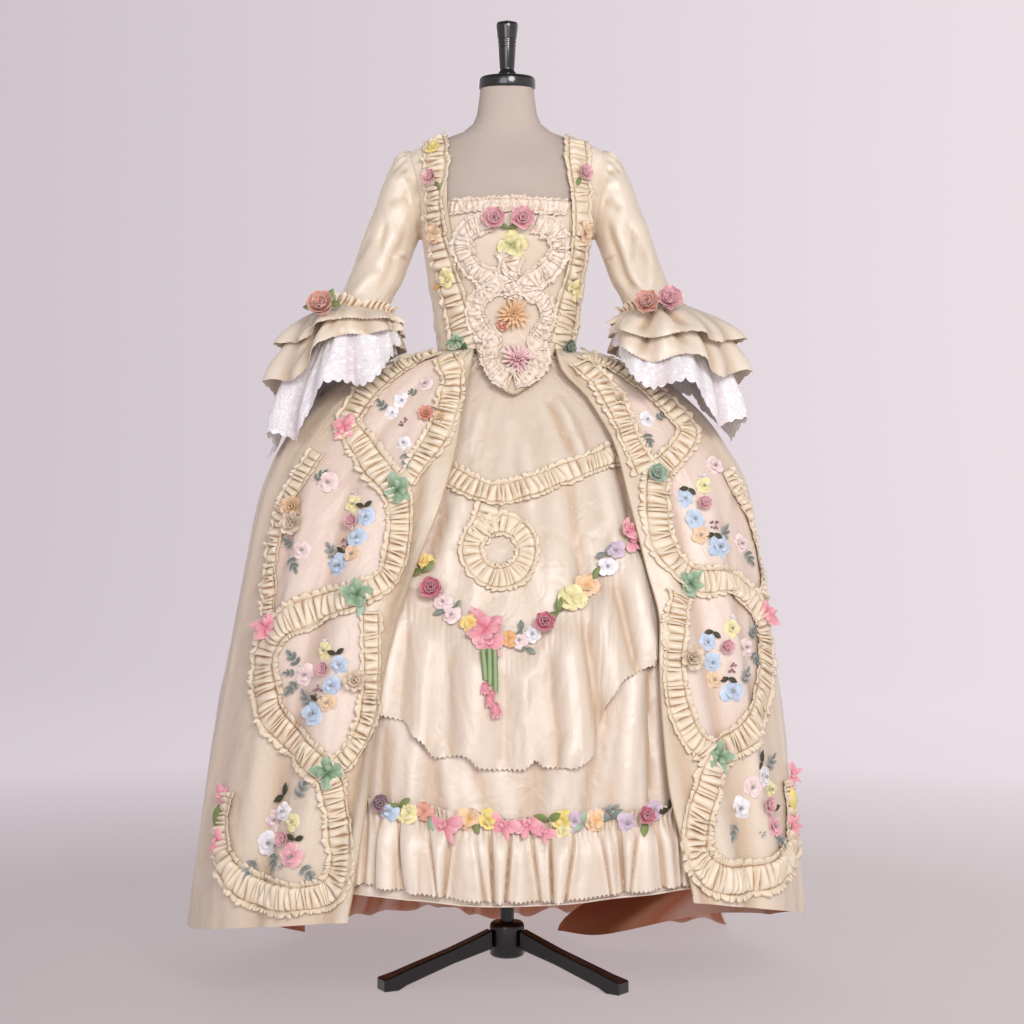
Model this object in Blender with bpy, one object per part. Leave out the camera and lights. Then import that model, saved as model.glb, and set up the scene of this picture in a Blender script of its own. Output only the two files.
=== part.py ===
"""Robe a la francaise on a limbless dress form: stomacher, robings, elbow sleeves with
satin flounces and lace, an open robe with sack back and train, and a trimmed petticoat.

Metres, +Z up, the front of the gown faces -Y and its left side in view is -X.
Every cloth piece is a wall worked out from section tables; what lies on a piece is
placed through that piece's own surface and moved out along its normal.
"""

import math

import bmesh
import bpy
import numpy as np

# Driving dimensions
CLOTH = 0.0015  # wall of every cloth piece
SEAM = 0.0003  # gap between neighbouring pieces
ROUND = 2.3  # exponent of the body and skirt sections: 2 is an ellipse
CENTRE_SHIFT = (0.0180, -0.2972)  # moves the pole so that the bounding box is centred
WAIST = 1.1277  # seam of bodice and skirts
SHOULDER_SEAM = 1.515
PETTICOAT_INSET = 0.016  # the petticoat lies this far inside the robe
PETTICOAT_TOP, PETTICOAT_BACK_HEM = 1.119, 0.245
SIDE_SEAM = math.radians(82)  # between robe front and robe side
SEAM_TURN = 0.0016  # each piece stops this angle short of a seam
TRIM_LIFT = 0.0024  # underside of a trim above the cloth that carries it
NECK_TOP = 1.600
TORSO_BOTTOM = 0.880
FOOT_REACH = 0.246
FIRST_LEG = math.radians(206)


class Table:
    """Rows of sizes with named columns, read smoothly along the first column."""

    def __init__(self, names, *rows):
        rows = np.array(sorted(rows), float)
        self.key = rows[:, 0]
        self.columns = dict(zip(names.split(), rows.T))

    def at(self, name, where):
        values = self.columns[name]
        step = np.diff(self.key)
        rise = np.diff(values) / step
        slope = np.concatenate([rise[:1], np.zeros(len(rise) - 1), rise[-1:]])
        same = rise[:-1] * rise[1:] > 0
        both = np.where(same, rise[:-1] + rise[1:], 1.0)
        slope[1:-1] = np.where(same, 2 * rise[:-1] * rise[1:] / both, 0.0)
        where = np.clip(where, self.key[0], self.key[-1])
        i = np.clip(np.searchsorted(self.key, where) - 1, 0, len(step) - 1)
        t = (where - self.key[i]) / step[i]
        start = (1 + 2 * t) * (1 - t) ** 2 * values[i] + t * (1 - t) ** 2 * step[i] * slope[i]
        end = t * t * (3 - 2 * t) * values[i + 1] + t * t * (t - 1) * step[i] * slope[i + 1]
        return start + end


# Half widths to each side and depths to front and back, by height
TORSO = Table(
    "z left right front back",
    (0.880, 0.150, 0.150, 0.098, 0.110),
    (0.960, 0.166, 0.166, 0.106, 0.122),
    (1.040, 0.146, 0.146, 0.092, 0.106),
    (1.128, 0.112, 0.112, 0.086, 0.080),
    (1.200, 0.122, 0.122, 0.097, 0.090),
    (1.280, 0.137, 0.137, 0.114, 0.097),
    (1.340, 0.148, 0.148, 0.125, 0.101),
    (1.400, 0.158, 0.158, 0.114, 0.105),
    (1.440, 0.169, 0.169, 0.095, 0.103),
    (1.470, 0.176, 0.176, 0.076, 0.093),
    (1.487, 0.166, 0.166, 0.065, 0.083),
    (1.505, 0.126, 0.126, 0.055, 0.071),
    (1.522, 0.086, 0.086, 0.050, 0.061),
    (1.545, 0.062, 0.062, 0.048, 0.054),
    (1.572, 0.053, 0.053, 0.046, 0.049),
    (1.600, 0.048, 0.048, 0.043, 0.045),
)
BODICE = Table(
    "z left right front back",
    (1.128, 0.125, 0.124, 0.098, 0.092),
    (1.200, 0.133, 0.132, 0.104, 0.098),
    (1.280, 0.146, 0.145, 0.120, 0.104),
    (1.340, 0.154, 0.154, 0.131, 0.107),
    (1.400, 0.163, 0.163, 0.120, 0.111),
    (1.440, 0.174, 0.174, 0.100, 0.109),
    (1.470, 0.181, 0.181, 0.081, 0.099),
    (1.487, 0.172, 0.172, 0.070, 0.089),
    (1.505, 0.137, 0.137, 0.061, 0.077),
    (1.520, 0.105, 0.105, 0.056, 0.069),
)
ROBE = Table(
    "z left right front back",
    (1.1277, 0.125, 0.124, 0.098, 0.092),
    (1.110, 0.212, 0.204, 0.108, 0.128),
    (1.060, 0.315, 0.300, 0.132, 0.170),
    (0.980, 0.391, 0.379, 0.166, 0.215),
    (0.880, 0.437, 0.429, 0.208, 0.258),
    (0.740, 0.466, 0.450, 0.260, 0.312),
    (0.560, 0.500, 0.480, 0.312, 0.375),
    (0.360, 0.536, 0.503, 0.350, 0.435),
    (0.170, 0.562, 0.528, 0.378, 0.480),
    (0.000, 0.577, 0.542, 0.390, 0.505),
)
STOMACHER = Table(
    "z left right front",
    (1.385, -0.104, 0.113, 0.124),
    (1.340, -0.097, 0.110, 0.131),
    (1.280, -0.086, 0.103, 0.120),
    (1.200, -0.070, 0.095, 0.105),
    (1.130, -0.053, 0.083, 0.100),
    (1.110, -0.048, 0.078, 0.105),
    (1.090, -0.038, 0.064, 0.114),
    (1.070, -0.024, 0.045, 0.123),
    (1.055, -0.010, 0.030, 0.130),
    (1.047, 0.004, 0.018, 0.134),
)
# Front edges of the open robe, by height
ROBE_EDGES = Table(
    "z left right",
    (1.1277, -0.058, 0.0855),
    (1.090, -0.064, 0.096),
    (1.040, -0.074, 0.142),
    (0.954, -0.086, 0.188),
    (0.866, -0.109, 0.212),
    (0.750, -0.150, 0.239),
    (0.640, -0.188, 0.262),
    (0.526, -0.211, 0.260),
    (0.390, -0.224, 0.268),
    (0.261, -0.243, 0.296),
    (0.160, -0.260, 0.312),
)
# Armhole edge of the bodice as an angle from the front, mirrored at the back
ARMHOLE = Table(
    "z angle",
    (1.335, 89.9),
    (1.345, 82.0),
    (1.365, 75.0),
    (1.420, 71.0),
    (1.455, 71.5),
    (1.475, 76.0),
    (1.487, 89.9),
    (1.515, 89.9),
)
# Sleeve sections: outer and inner edge, depth each way in Y, and how far forward
SLEEVE = Table(
    "ring outer_x outer_z inner_x inner_z depth forward",
    (0, 0.1800, 1.4900, 0.1585, 1.3300, 0.0465, 0.000),
    (1, 0.2000, 1.4740, 0.1610, 1.3230, 0.0520, 0.002),
    (2, 0.2220, 1.4340, 0.1660, 1.3110, 0.0550, 0.006),
    (3, 0.2380, 1.3860, 0.1700, 1.2980, 0.0545, 0.012),
    (4, 0.2540, 1.3450, 0.1765, 1.2800, 0.0520, 0.020),
    (5, 0.2700, 1.2920, 0.1865, 1.2500, 0.0500, 0.034),
    (6, 0.2840, 1.2520, 0.2000, 1.2250, 0.0480, 0.047),
    (7, 0.3040, 1.2050, 0.2124, 1.1930, 0.0450, 0.062),
)
# Sack back, from neckline to the end of the train: height, half width, depth at the
# middle and at the edges, and how far its box pleats have opened
SACK = Table(
    "row z half middle edge open",
    (0, 1.500, 0.098, 0.0850, 0.0700, 0.00),
    (1, 1.465, 0.100, 0.1090, 0.0990, 0.00),
    (2, 1.350, 0.106, 0.1290, 0.1140, 0.02),
    (3, 1.128, 0.126, 0.1740, 0.1540, 0.15),
    (4, 1.000, 0.152, 0.2230, 0.2060, 0.30),
    (5, 0.840, 0.195, 0.2860, 0.2640, 0.48),
    (6, 0.640, 0.253, 0.3590, 0.3220, 0.68),
    (7, 0.420, 0.323, 0.4330, 0.3700, 0.86),
    (8, 0.240, 0.375, 0.4860, 0.3930, 1.00),
    (9, 0.110, 0.407, 0.5190, 0.4140, 1.00),
    (10, 0.036, 0.427, 0.5600, 0.4540, 1.00),
    (11, 0.006, 0.442, 0.6300, 0.5100, 1.00),
    (12, 0.000, 0.450, 0.8000, 0.6700, 1.00),
    (13, 0.000, 0.410, 0.9700, 0.7600, 1.00),
)
# Columns of the sack back from its edge to its middle. Folded, they make half of a
# pair of box pleats in three layers; opened, they are soft folds.
PLEAT_LAYER = 0.0036
PLEATS = (
    # folded place and layer, opened place and relief
    (1.00, 0, 1.00, 0.000),
    (0.78, 0, 0.86, 0.001),
    (0.78, 1, 0.80, -0.004),
    (0.96, 1, 0.70, 0.012),
    (0.96, 2, 0.63, 0.018),
    (0.54, 2.3, 0.42, 0.010),
    (0.12, 2, 0.22, 0.016),
    (0.12, 1, 0.17, 0.010),
    (0.29, 1, 0.11, -0.003),
    (0.29, 0, 0.06, -0.009),
    (0.00, 0, 0.00, -0.010),
)
# Soft folds of the petticoat front: place across it in degrees, and relief at the hem
FOLDS = Table(
    "angle relief",
    (-90, 0.000), (-72, 0.005), (-60, -0.005), (-50, 0.004), (-43, -0.004), (-36, 0.005),
    (-27, -0.005), (-20, 0.004), (-12, -0.004), (-5, 0.005), (3, -0.004), (10, 0.004),
    (17, -0.005), (25, 0.005), (32, -0.004), (40, 0.005), (49, -0.005), (60, 0.005),
    (73, -0.004), (90, 0.000),
)
PETTICOAT_HEM = Table("x z", (-0.56, 0.228), (-0.22, 0.204), (0.00, 0.190), (0.24, 0.206), (0.54, 0.228))
OVERLAY = Table(
    "x top hem",
    (-0.245, 0.765, 0.505),
    (-0.172, 0.716, 0.490),
    (-0.111, 0.690, 0.430),
    (-0.031, 0.636, 0.412),
    (0.027, 0.626, 0.410),
    (0.069, 0.652, 0.418),
    (0.136, 0.712, 0.438),
    (0.166, 0.745, 0.500),
    (0.206, 0.800, 0.562),
    (0.280, 0.850, 0.600),
)
HEM_FLOUNCE = Table(
    "x top hem",
    (-0.300, 0.352, 0.232),
    (-0.219, 0.347, 0.221),
    (-0.140, 0.339, 0.212),
    (-0.060, 0.327, 0.201),
    (0.022, 0.318, 0.198),
    (0.105, 0.322, 0.202),
    (0.188, 0.329, 0.210),
    (0.264, 0.334, 0.216),
    (0.345, 0.343, 0.222),
)
# Hem of the robe side panel from its seam to the back
SIDE_HEM = Table("u left right", (0.0, 0.105, 0.132), (0.5, 0.075, 0.085), (0.8, 0.035, 0.045), (1.0, 0.004, 0.004))
# Where the back corner of a robe side lies on the floor, how far each column is pulled
# there, and the height at which the pull begins
SIDE_FLOOR = {
    -1: Table("u x y pull", (0.0, 0.50, 0.10, 0), (0.70, 0.44, 0.32, 0), (0.85, 0.43, 0.39, 0.5), (1.0, 0.404, 0.445, 1)),
    1: Table("u x y pull", (0.0, 0.53, 0.05, 0), (0.54, 0.46, 0.27, 0), (0.70, 0.36, 0.36, 0.9), (0.85, 0.185, 0.246, 1), (1.0, 0.10, 0.46, 1)),
}
SIDE_PULL = {-1: 0.10, 1: 0.22}
FRONT_HEM = {-1: (0.163, 0.105), 1: (0.191, 0.132)}

FINISHES = {
    # colour, roughness, metallic
    "linen": ((0.62, 0.55, 0.47), 0.85, 0.0),
    "black": ((0.012, 0.012, 0.012), 0.3, 0.0),
    "satin": ((0.77, 0.64, 0.46), 0.42, 0.0),
    "trim": ((0.82, 0.69, 0.50), 0.55, 0.0),
    "lace": ((0.86, 0.84, 0.86), 0.75, 0.0),
    "flowers": ((0.80, 0.42, 0.42), 0.6, 0.0),
}


def finish(name):
    material = bpy.data.materials.get(name)
    if material is None:
        material = bpy.data.materials.new(name)
        material.use_nodes = True
        shader = material.node_tree.nodes["Principled BSDF"]
        colour, roughness, metallic = FINISHES[name]
        shader.inputs["Base Color"].default_value = (*colour, 1.0)
        shader.inputs["Roughness"].default_value = roughness
        shader.inputs["Metallic"].default_value = metallic
    return material


def mix(start, end, share):
    return start + (end - start) * share


def smooth(share):
    share = np.clip(share, 0.0, 1.0)
    return share * share * (3 - 2 * share)


def unit(vectors):
    return vectors / np.maximum(np.linalg.norm(vectors, axis=-1, keepdims=True), 1e-12)


# Surfaces. Each is read by (angle, z) or by (u, v) and gives points.


class Body:
    """A surface of rounded sections by height. An angle of 0 is the front, 90 is +X."""

    def __init__(self, sizes, relief=None):
        self.sizes, self.relief = sizes, relief

    def point(self, angle, z):
        angle, z = np.broadcast_arrays(np.asarray(angle, float), np.asarray(z, float))
        left, right, front, back = self.sizes(z)
        grow = self.relief(angle, z) if self.relief else 0.0
        s, c = np.sin(angle), np.cos(angle)
        x = (np.where(s < 0, left, right) + grow) * np.sign(s) * np.abs(s) ** (2 / ROUND)
        y = -(np.where(c > 0, front, back) + grow) * np.sign(c) * np.abs(c) ** (2 / ROUND)
        return np.stack([x, y, z], -1)

    def normal(self, angle, z, step=2e-3):
        across = self.point(angle + step, z) - self.point(angle - step, z)
        down = self.point(angle, z - step) - self.point(angle, z + step)
        return unit(np.cross(down, across))

    def lifted(self, angle, z, lift):
        return self.point(angle, z) + self.normal(angle, z) * np.asarray(lift)[..., None]

    def place(self, points):
        """The (angle, z) of the surface nearest to each point, along its section."""
        x, y, z = np.moveaxis(points, -1, 0)
        left, right, front, back = self.sizes(z)
        across = np.sign(x) * np.abs(x / np.where(x < 0, left, right)) ** (ROUND / 2)
        ahead = -np.sign(y) * np.abs(y / np.where(y < 0, front, back)) ** (ROUND / 2)
        return np.arctan2(across, ahead), z

    def front_angle(self, x, z):
        """The angle of the front point at this x."""
        left, right = self.sizes(z)[:2]
        half = np.where(np.asarray(x) < 0, left, right)
        return np.sign(x) * np.arcsin(np.clip(np.abs(x) / half, 0, 1) ** (ROUND / 2))


def of_table(table):
    return lambda z: tuple(table.at(name, z) for name in ("left", "right", "front", "back"))


def petticoat_sizes(z):
    """The robe's sections a little higher up and further in, but outside the dress form."""
    outer = of_table(ROBE)(np.asarray(z) + 0.010)
    form = of_table(TORSO)(z)
    return tuple(np.maximum(a - PETTICOAT_INSET, b + 0.0065) for a, b in zip(outer, form))


def fold_relief(angle, z):
    turned = np.degrees((angle + np.pi) % (2 * np.pi) - np.pi)
    return FOLDS.at("relief", turned) * smooth((1.10 - z) / 0.7)


def stomacher_sizes(z):
    bodice = of_table(BODICE)(z)
    return bodice[0], bodice[1], STOMACHER.at("front", z), bodice[3]


torso = Body(of_table(TORSO))
bodice = Body(of_table(BODICE))
robe = Body(of_table(ROBE))
petticoat = Body(petticoat_sizes, fold_relief)
stomacher = Body(stomacher_sizes)


# Builders


def new_object(name, points, faces, look):
    mesh = bpy.data.meshes.new(name)
    moved = np.asarray(points, float) + np.array([*CENTRE_SHIFT, 0.0])
    mesh.from_pydata(moved.tolist(), [], faces)
    mesh.materials.append(finish(look))
    mesh.validate()
    obj = bpy.data.objects.new(name, mesh)
    bpy.context.scene.collection.objects.link(obj)
    return obj


def face_outward(obj):
    mesh = bmesh.new()
    mesh.from_mesh(obj.data)
    bmesh.ops.recalc_face_normals(mesh, faces=mesh.faces)
    mesh.to_mesh(obj.data)
    mesh.free()
    obj.data.shade_smooth()
    obj.data.set_sharp_from_angle(angle=math.radians(40))
    return obj


def grid_faces(rows, columns, closed):
    wide = columns if closed else columns - 1
    return [
        (i * columns + j, (i + 1) * columns + j, (i + 1) * columns + k, i * columns + k)
        for i in range(rows - 1)
        for j in range(wide)
        for k in [(j + 1) % columns]
    ]


def sheet(name, points, look="satin", closed=False):
    """A cloth wall whose outer side is this grid: rows run down, columns towards +X in front."""
    rows, columns = points.shape[:2]
    obj = new_object(name, points.reshape(-1, 3), grid_faces(rows, columns, closed), look)
    obj.data.shade_smooth()
    wall = obj.modifiers.new("wall", "SOLIDIFY")
    wall.thickness = CLOTH
    wall.offset = -1
    return obj


def stacked(name, rings, look):
    """A solid from closed rings, with flat ends."""
    rows, columns = rings.shape[:2]
    faces = grid_faces(rows, columns, True)
    faces += [tuple(range(columns)), tuple(range((rows - 1) * columns, rows * columns))]
    return face_outward(new_object(name, rings.reshape(-1, 3), faces, look))


def turned(name, profile, look, sides=12, stretch=(1.0, 1.0)):
    """A turned solid on the pole's axis from (height, radius) pairs."""
    angle = np.arange(sides) * 2 * np.pi / sides
    rings = [
        np.stack([r * stretch[0] * np.cos(angle), r * stretch[1] * np.sin(angle), 0 * angle + z], -1)
        for z, r in profile
    ]
    return stacked(name, np.array(rings), look)


def along(points, count, closed=False):
    """Points spaced evenly along a smooth curve through these points."""
    points = np.array(points, float)
    n = len(points)
    ends = [points[-1], points[0], points[1]] if closed else None
    if closed:
        padded = np.vstack([ends[0], points, ends[1], ends[2]])
    else:
        padded = np.vstack([2 * points[0] - points[1], points, 2 * points[-1] - points[-2]])
    t = np.linspace(0, 1, 13)[:, None]
    dense = []
    for i in range(n if closed else n - 1):
        a, b, c, d = padded[i : i + 4]
        dense.append(
            0.5 * (2 * b + (c - a) * t + (2 * a - 5 * b + 4 * c - d) * t**2 + (3 * b - a - 3 * c + d) * t**3)
        )
    dense = np.vstack(dense)
    run = np.concatenate([[0], np.cumsum(np.linalg.norm(np.diff(dense, axis=0), axis=1))])
    want = np.linspace(0, run[-1], count + 1)
    if closed:
        want = want[:-1]
    return np.stack([np.interp(want, run, dense[:, k]) for k in range(dense.shape[1])], -1)


BAND_TOP = ((-0.50, 0.0, 0.0), (0.0, 0.45, 0.55), (0.50, 0.0, 0.0))
BAND_EDGE = 0.0018  # thickness of a band at its two edges


def band(name, body, path, width, height, waves, closed=False, lift=TRIM_LIFT, look="trim"):
    """A gathered band along (x, z) points on the front of a body, raised in waves."""
    count = 2 * waves
    flat = along(path, count, closed)
    centre = body.point(body.front_angle(flat[:, 0], flat[:, 1]), flat[:, 1])
    if closed:
        tangent = unit(np.roll(centre, -1, 0) - np.roll(centre, 1, 0))
    else:
        tangent = unit(np.gradient(centre, axis=0))
    across = unit(np.cross(body.normal(*body.place(centre)), tangent))
    wave = 1.0 - np.arange(len(centre)) % 2
    loop = []
    for share, base, rise in BAND_TOP:
        side = centre + across * (share * width * (1 - 0.08 * (1 - wave)))[:, None]
        raised = lift + BAND_EDGE + height * (base + rise * wave) * (base > 0)
        loop.append(body.lifted(*body.place(side), raised))
    for share in (0.5, 0.0, -0.5):
        side = centre + across * (share * width * (1 - 0.08 * (1 - wave)))[:, None]
        loop.append(body.lifted(*body.place(side), np.full(len(centre), lift)))
    rings = np.stack(loop, 1)
    if not closed:
        return stacked(name, rings, look)
    rows, columns = rings.shape[:2]
    faces = grid_faces(rows + 1, columns, True)
    faces = [tuple(i % (rows * columns) for i in face) for face in faces]
    return face_outward(new_object(name, rings.reshape(-1, 3), faces, look))


def dome(centre, normal, size, height):
    """A flower head: a lobed, domed disc. Gives its points and faces."""
    sides = 6 if size < 0.04 else 8
    normal = unit(np.asarray(normal, float))
    first = unit(np.cross(normal, [0.1, 0.2, 1.0]))
    second = np.cross(normal, first)
    turn = np.arange(sides) * 2 * np.pi / sides
    spokes = np.cos(turn)[:, None] * first + np.sin(turn)[:, None] * second
    lobes = np.where(np.arange(sides) % 2, 0.84, 1.0)[:, None] * size / 2
    base = centre + spokes * lobes
    top = centre + spokes * lobes * 0.72 + normal * height * 0.8
    points = np.vstack([base, top, [centre + normal * height]])
    faces = [tuple(range(sides))]
    faces += [(i, (i + 1) % sides, sides + (i + 1) % sides, sides + i) for i in range(sides)]
    faces += [(sides + i, sides + (i + 1) % sides, 2 * sides) for i in range(sides)]
    return points, faces


def stem(start, end, normal, width, height):
    """A low bar from one flower to the next. Gives its points and faces."""
    side = unit(np.cross(end - start, normal)) * width / 2
    rise = unit(normal) * height
    points = np.array([p + s for p in (start, end) for s in (-side, side, side + rise, rise - side)])
    faces = [(0, 1, 2, 3), (4, 5, 6, 7), (0, 1, 5, 4), (1, 2, 6, 5), (2, 3, 7, 6), (3, 0, 4, 7)]
    return points, faces


def fused(name, shapes, look, start=None):
    """One solid from shapes that overlap, added to a starting object where one is given."""
    helpers = [face_outward(new_object(f"{name}_{i}", *shape, look)) for i, shape in enumerate(shapes)]
    base = start or helpers.pop(0)
    group = bpy.data.collections.new(name + "_added")
    bpy.context.scene.collection.children.link(group)
    for helper in helpers:
        bpy.context.scene.collection.objects.unlink(helper)
        group.objects.link(helper)
    join = base.modifiers.new("join", "BOOLEAN")
    join.operation, join.operand_type, join.collection = "UNION", "COLLECTION", group
    graph = bpy.context.evaluated_depsgraph_get()
    made = bpy.data.meshes.new_from_object(base.evaluated_get(graph))
    base.modifiers.clear()
    base.data = made
    base.name = name
    for helper in helpers:
        bpy.data.objects.remove(helper)
    bpy.data.collections.remove(group)
    return base


def heads_on(body, flowers, lift):
    """Places of flower heads from (x, z, size, height) rows on the front of a body."""
    heads = []
    for i, (x, z, size, height) in enumerate(flowers):
        angle = body.front_angle(x, z)
        centre = body.lifted(angle, z, lift + 0.0004 * (i % 3))
        heads.append((centre, body.normal(angle, z), size, height))
    return heads


def cluster(name, heads, look="flowers", stem_width=0.008):
    """Flower heads in a row, each joined to the next by a stem."""
    shapes = [dome(*head) for head in heads]
    for (a, normal_a, _, rise_a), (b, normal_b, _, rise_b) in zip(heads, heads[1:]):
        normal = unit(normal_a + normal_b)
        low = 0.0012 * normal
        shapes.append(stem(a + low, b + low, normal, stem_width, 0.45 * min(rise_a, rise_b) + 0.001))
    return fused(name, shapes, look)


def with_flowers(obj, body, flowers, lift):
    """Flower heads fused onto a band that already lies on the body."""
    return fused(obj.name, [dome(*head) for head in heads_on(body, flowers, lift)], "trim", obj)


# The dress form and its stand


def dress_form():
    angle = np.linspace(0, 2 * np.pi, 21)[:-1]
    heights = [*TORSO.key[[0, 2, 3, 4, 5, 6, 7, 9, 10, 11, 12, 13]], NECK_TOP]
    stacked("form_torso", torso.point(angle[None, :], np.array(heights)[:, None]), "linen")
    cap = NECK_TOP + SEAM
    turned(
        "form_neck_cap",
        [(cap, 0.0495), (cap + 0.003, 0.0513), (cap + 0.017, 0.0513), (cap + 0.021, 0.048)],
        "black", 20, (1.0, 0.93),
    )
    knob = cap + 0.021 + SEAM
    shape = [(0, 0.016), (0.006, 0.0165), (0.010, 0.010), (0.018, 0.0125), (0.024, 0.0165), (0.031, 0.0165)]
    shape += [(0.036, 0.0125), (0.058, 0.0155), (0.084, 0.0212), (0.096, 0.0220), (0.1025, 0.0185)]
    turned("form_knob", [(knob + z, r) for z, r in shape], "black")


def stand():
    turned("stand_pole", [(0.1043, 0.0125), (TORSO_BOTTOM - SEAM, 0.0125)], "black")
    turned("stand_hub", [(0.040, 0.024), (0.046, 0.031), (0.098, 0.031), (0.104, 0.026)], "black", 16)
    # reach, bottom, top and half width of the leg's sections
    sections = (
        (0.0335, 0.058, 0.092, 0.011),
        (0.110, 0.038, 0.064, 0.0125),
        (0.200, 0.008, 0.036, 0.0135),
        (0.217, 0.000, 0.030, 0.0150),
        (FOOT_REACH, 0.000, 0.022, 0.0175),
    )
    for i in range(3):
        turn = FIRST_LEG + i * 2 * math.pi / 3
        out, side = np.array([math.cos(turn), math.sin(turn), 0]), np.array([-math.sin(turn), math.cos(turn), 0])
        rings = [
            [out * r + side * s * half + [0, 0, z] for s, z in ((-1, low), (1, low), (1, high), (-1, high))]
            for r, low, high, half in sections
        ]
        leg = stacked(f"stand_leg_{i + 1}", np.array(rings), "black")
        edge = leg.modifiers.new("edge", "BEVEL")
        edge.width, edge.segments, edge.limit_method = 0.002, 1, "ANGLE"


# The bodice


def bodice_pieces():
    heights = [1.128, 1.175, 1.23, 1.285, 1.335, 1.345, 1.365, 1.40, 1.44, 1.47, 1.487, 1.50, 1.5135]
    z = np.array(heights)[::-1, None]
    u = np.linspace(0, 1, 6)[None, :]
    for side, word in ((-1, "left"), (1, "right")):
        edge = bodice.front_angle(STOMACHER.at(word, z) + side * 0.0018, z)
        arm = np.radians(ARMHOLE.at("angle", z)) - 0.001
        outer = side * arm
        angle = mix(edge, outer, u)
        points = bodice.point(angle, z)
        sheet(f"bodice_front_{word}", points if side > 0 else points[:, ::-1])
        inner = np.where(z > 1.49, side * 0.092, side * 0.080)
        back_edge = side * np.pi - bodice.front_angle(inner, z)
        angle = mix(side * np.pi - outer, back_edge, u)
        points = bodice.point(angle, z)
        sheet(f"bodice_back_{word}", points if side > 0 else points[:, ::-1])


def stomacher_piece():
    z = np.array([1.385, 1.345, 1.30, 1.25, 1.19, 1.14, 1.115, 1.09, 1.07, 1.055, 1.047])[:, None]
    u = np.linspace(0, 1, 7)[None, :]
    x = mix(STOMACHER.at("left", z), STOMACHER.at("right", z), u)
    sheet("stomacher", stomacher.point(stomacher.front_angle(x, z), z + 0 * u))
    band("neckline_frill", stomacher, [(-0.096, 1.374), (0.005, 1.377), (0.105, 1.374)], 0.018, 0.005, 6)
    for word, path in {
        "left": [(-0.040, 1.338), (-0.070, 1.322), (-0.074, 1.290), (-0.048, 1.258), (-0.022, 1.240),
                 (-0.046, 1.222), (-0.054, 1.192), (-0.036, 1.160), (-0.020, 1.142), (-0.026, 1.110)],
        "right": [(0.052, 1.338), (0.084, 1.322), (0.086, 1.290), (0.062, 1.258), (0.040, 1.240),
                  (0.062, 1.222), (0.072, 1.192), (0.058, 1.160), (0.050, 1.142), (0.054, 1.110)],
    }.items():
        band(f"stomacher_scroll_{word}", stomacher, path, 0.022, 0.005, 6)
    roses = [(-0.0205, 1.343, 0.044, 0.020), (0.026, 1.343, 0.044, 0.020), (0.009, 1.308, 0.040, 0.012)]
    roses += [(0.009, 1.192, 0.046, 0.012), (0.015, 1.108, 0.046, 0.010)]
    cluster("stomacher_flowers", heads_on(stomacher, roses, TRIM_LIFT + 0.001), stem_width=0.006)


def robings():
    paths = {
        "left": [(-0.126, 1.500), (-0.128, 1.45), (-0.128, 1.36), (-0.114, 1.28), (-0.097, 1.21), (-0.079, 1.137)],
        "right": [(0.124, 1.500), (0.128, 1.45), (0.133, 1.36), (0.126, 1.28), (0.116, 1.21), (0.106, 1.139)],
    }
    flowers = {
        "left": [(-0.128, 1.44, 0.036, 0.012), (-0.124, 1.335, 0.040, 0.010), (-0.104, 1.25, 0.034, 0.009)],
        "right": [(0.131, 1.44, 0.036, 0.012), (0.134, 1.335, 0.040, 0.010), (0.120, 1.23, 0.036, 0.010)],
    }
    for word, path in paths.items():
        strip = band(f"robing_{word}", bodice, path, 0.046, 0.006, 10)
        with_flowers(strip, bodice, flowers[word], TRIM_LIFT + 0.003)


# Sleeves, each with its frill, two satin flounces and a lace ruffle


class Ruffle:
    """A ruffle that hangs from the end of a sleeve: (out, down) for each of its quarters."""

    def __init__(self, side, start, quarters, waves, swing, gap):
        self.side, self.start, self.quarters = side, start, quarters
        self.waves, self.swing, self.gap = waves, swing, gap

    def point(self, turn, t):
        """turn is 0 outward, 90 back, 180 inward and 270 front; t runs down the ruffle."""
        turn, t = np.broadcast_arrays(np.asarray(turn, float), np.asarray(t, float))
        out = down = 0.0
        for i, (reach, drop) in enumerate(self.quarters):
            share = np.maximum(0, np.cos(turn - i * np.pi / 2)) ** 2
            out, down = out + share * reach, down + share * drop
        ring = sleeve_point(self.side, turn, 7.0, self.start)
        out = out * (1 - (1 - t) ** 1.6) + self.swing * t * np.cos(self.waves * turn)
        away = np.stack([self.side * np.cos(turn), np.sin(turn), 0 * turn], -1)
        points = ring + away * out[..., None]
        points[..., 2] -= down * t
        return clear_of_robe(points, self.gap * (0.5 + 0.5 * t))

    def normal(self, turn, t, step=0.02):
        around = self.point(turn + step, t) - self.point(turn - step, t)
        down = self.point(turn, t + step) - self.point(turn, t - step)
        return unit(self.side * np.cross(down, around))


def clear_of_robe(points, gap):
    """Moves what would dip into the robe's hip out to this gap from it."""
    left, right, front, back = of_table(ROBE)(points[..., 2] - 0.006)
    wide = np.where(points[..., 0] < 0, left, right) + gap
    deep = np.where(points[..., 1] < 0, front, back) + gap
    level = (np.abs(points[..., 0]) / wide) ** ROUND + (np.abs(points[..., 1]) / deep) ** ROUND
    grow = np.maximum(1.0, level ** (-1 / ROUND))
    below = smooth((WAIST + 0.004 - points[..., 2]) / 0.02)
    grow = mix(1.0, grow, below)
    moved = points.copy()
    moved[..., 0] *= grow
    moved[..., 1] *= grow
    return moved


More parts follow.
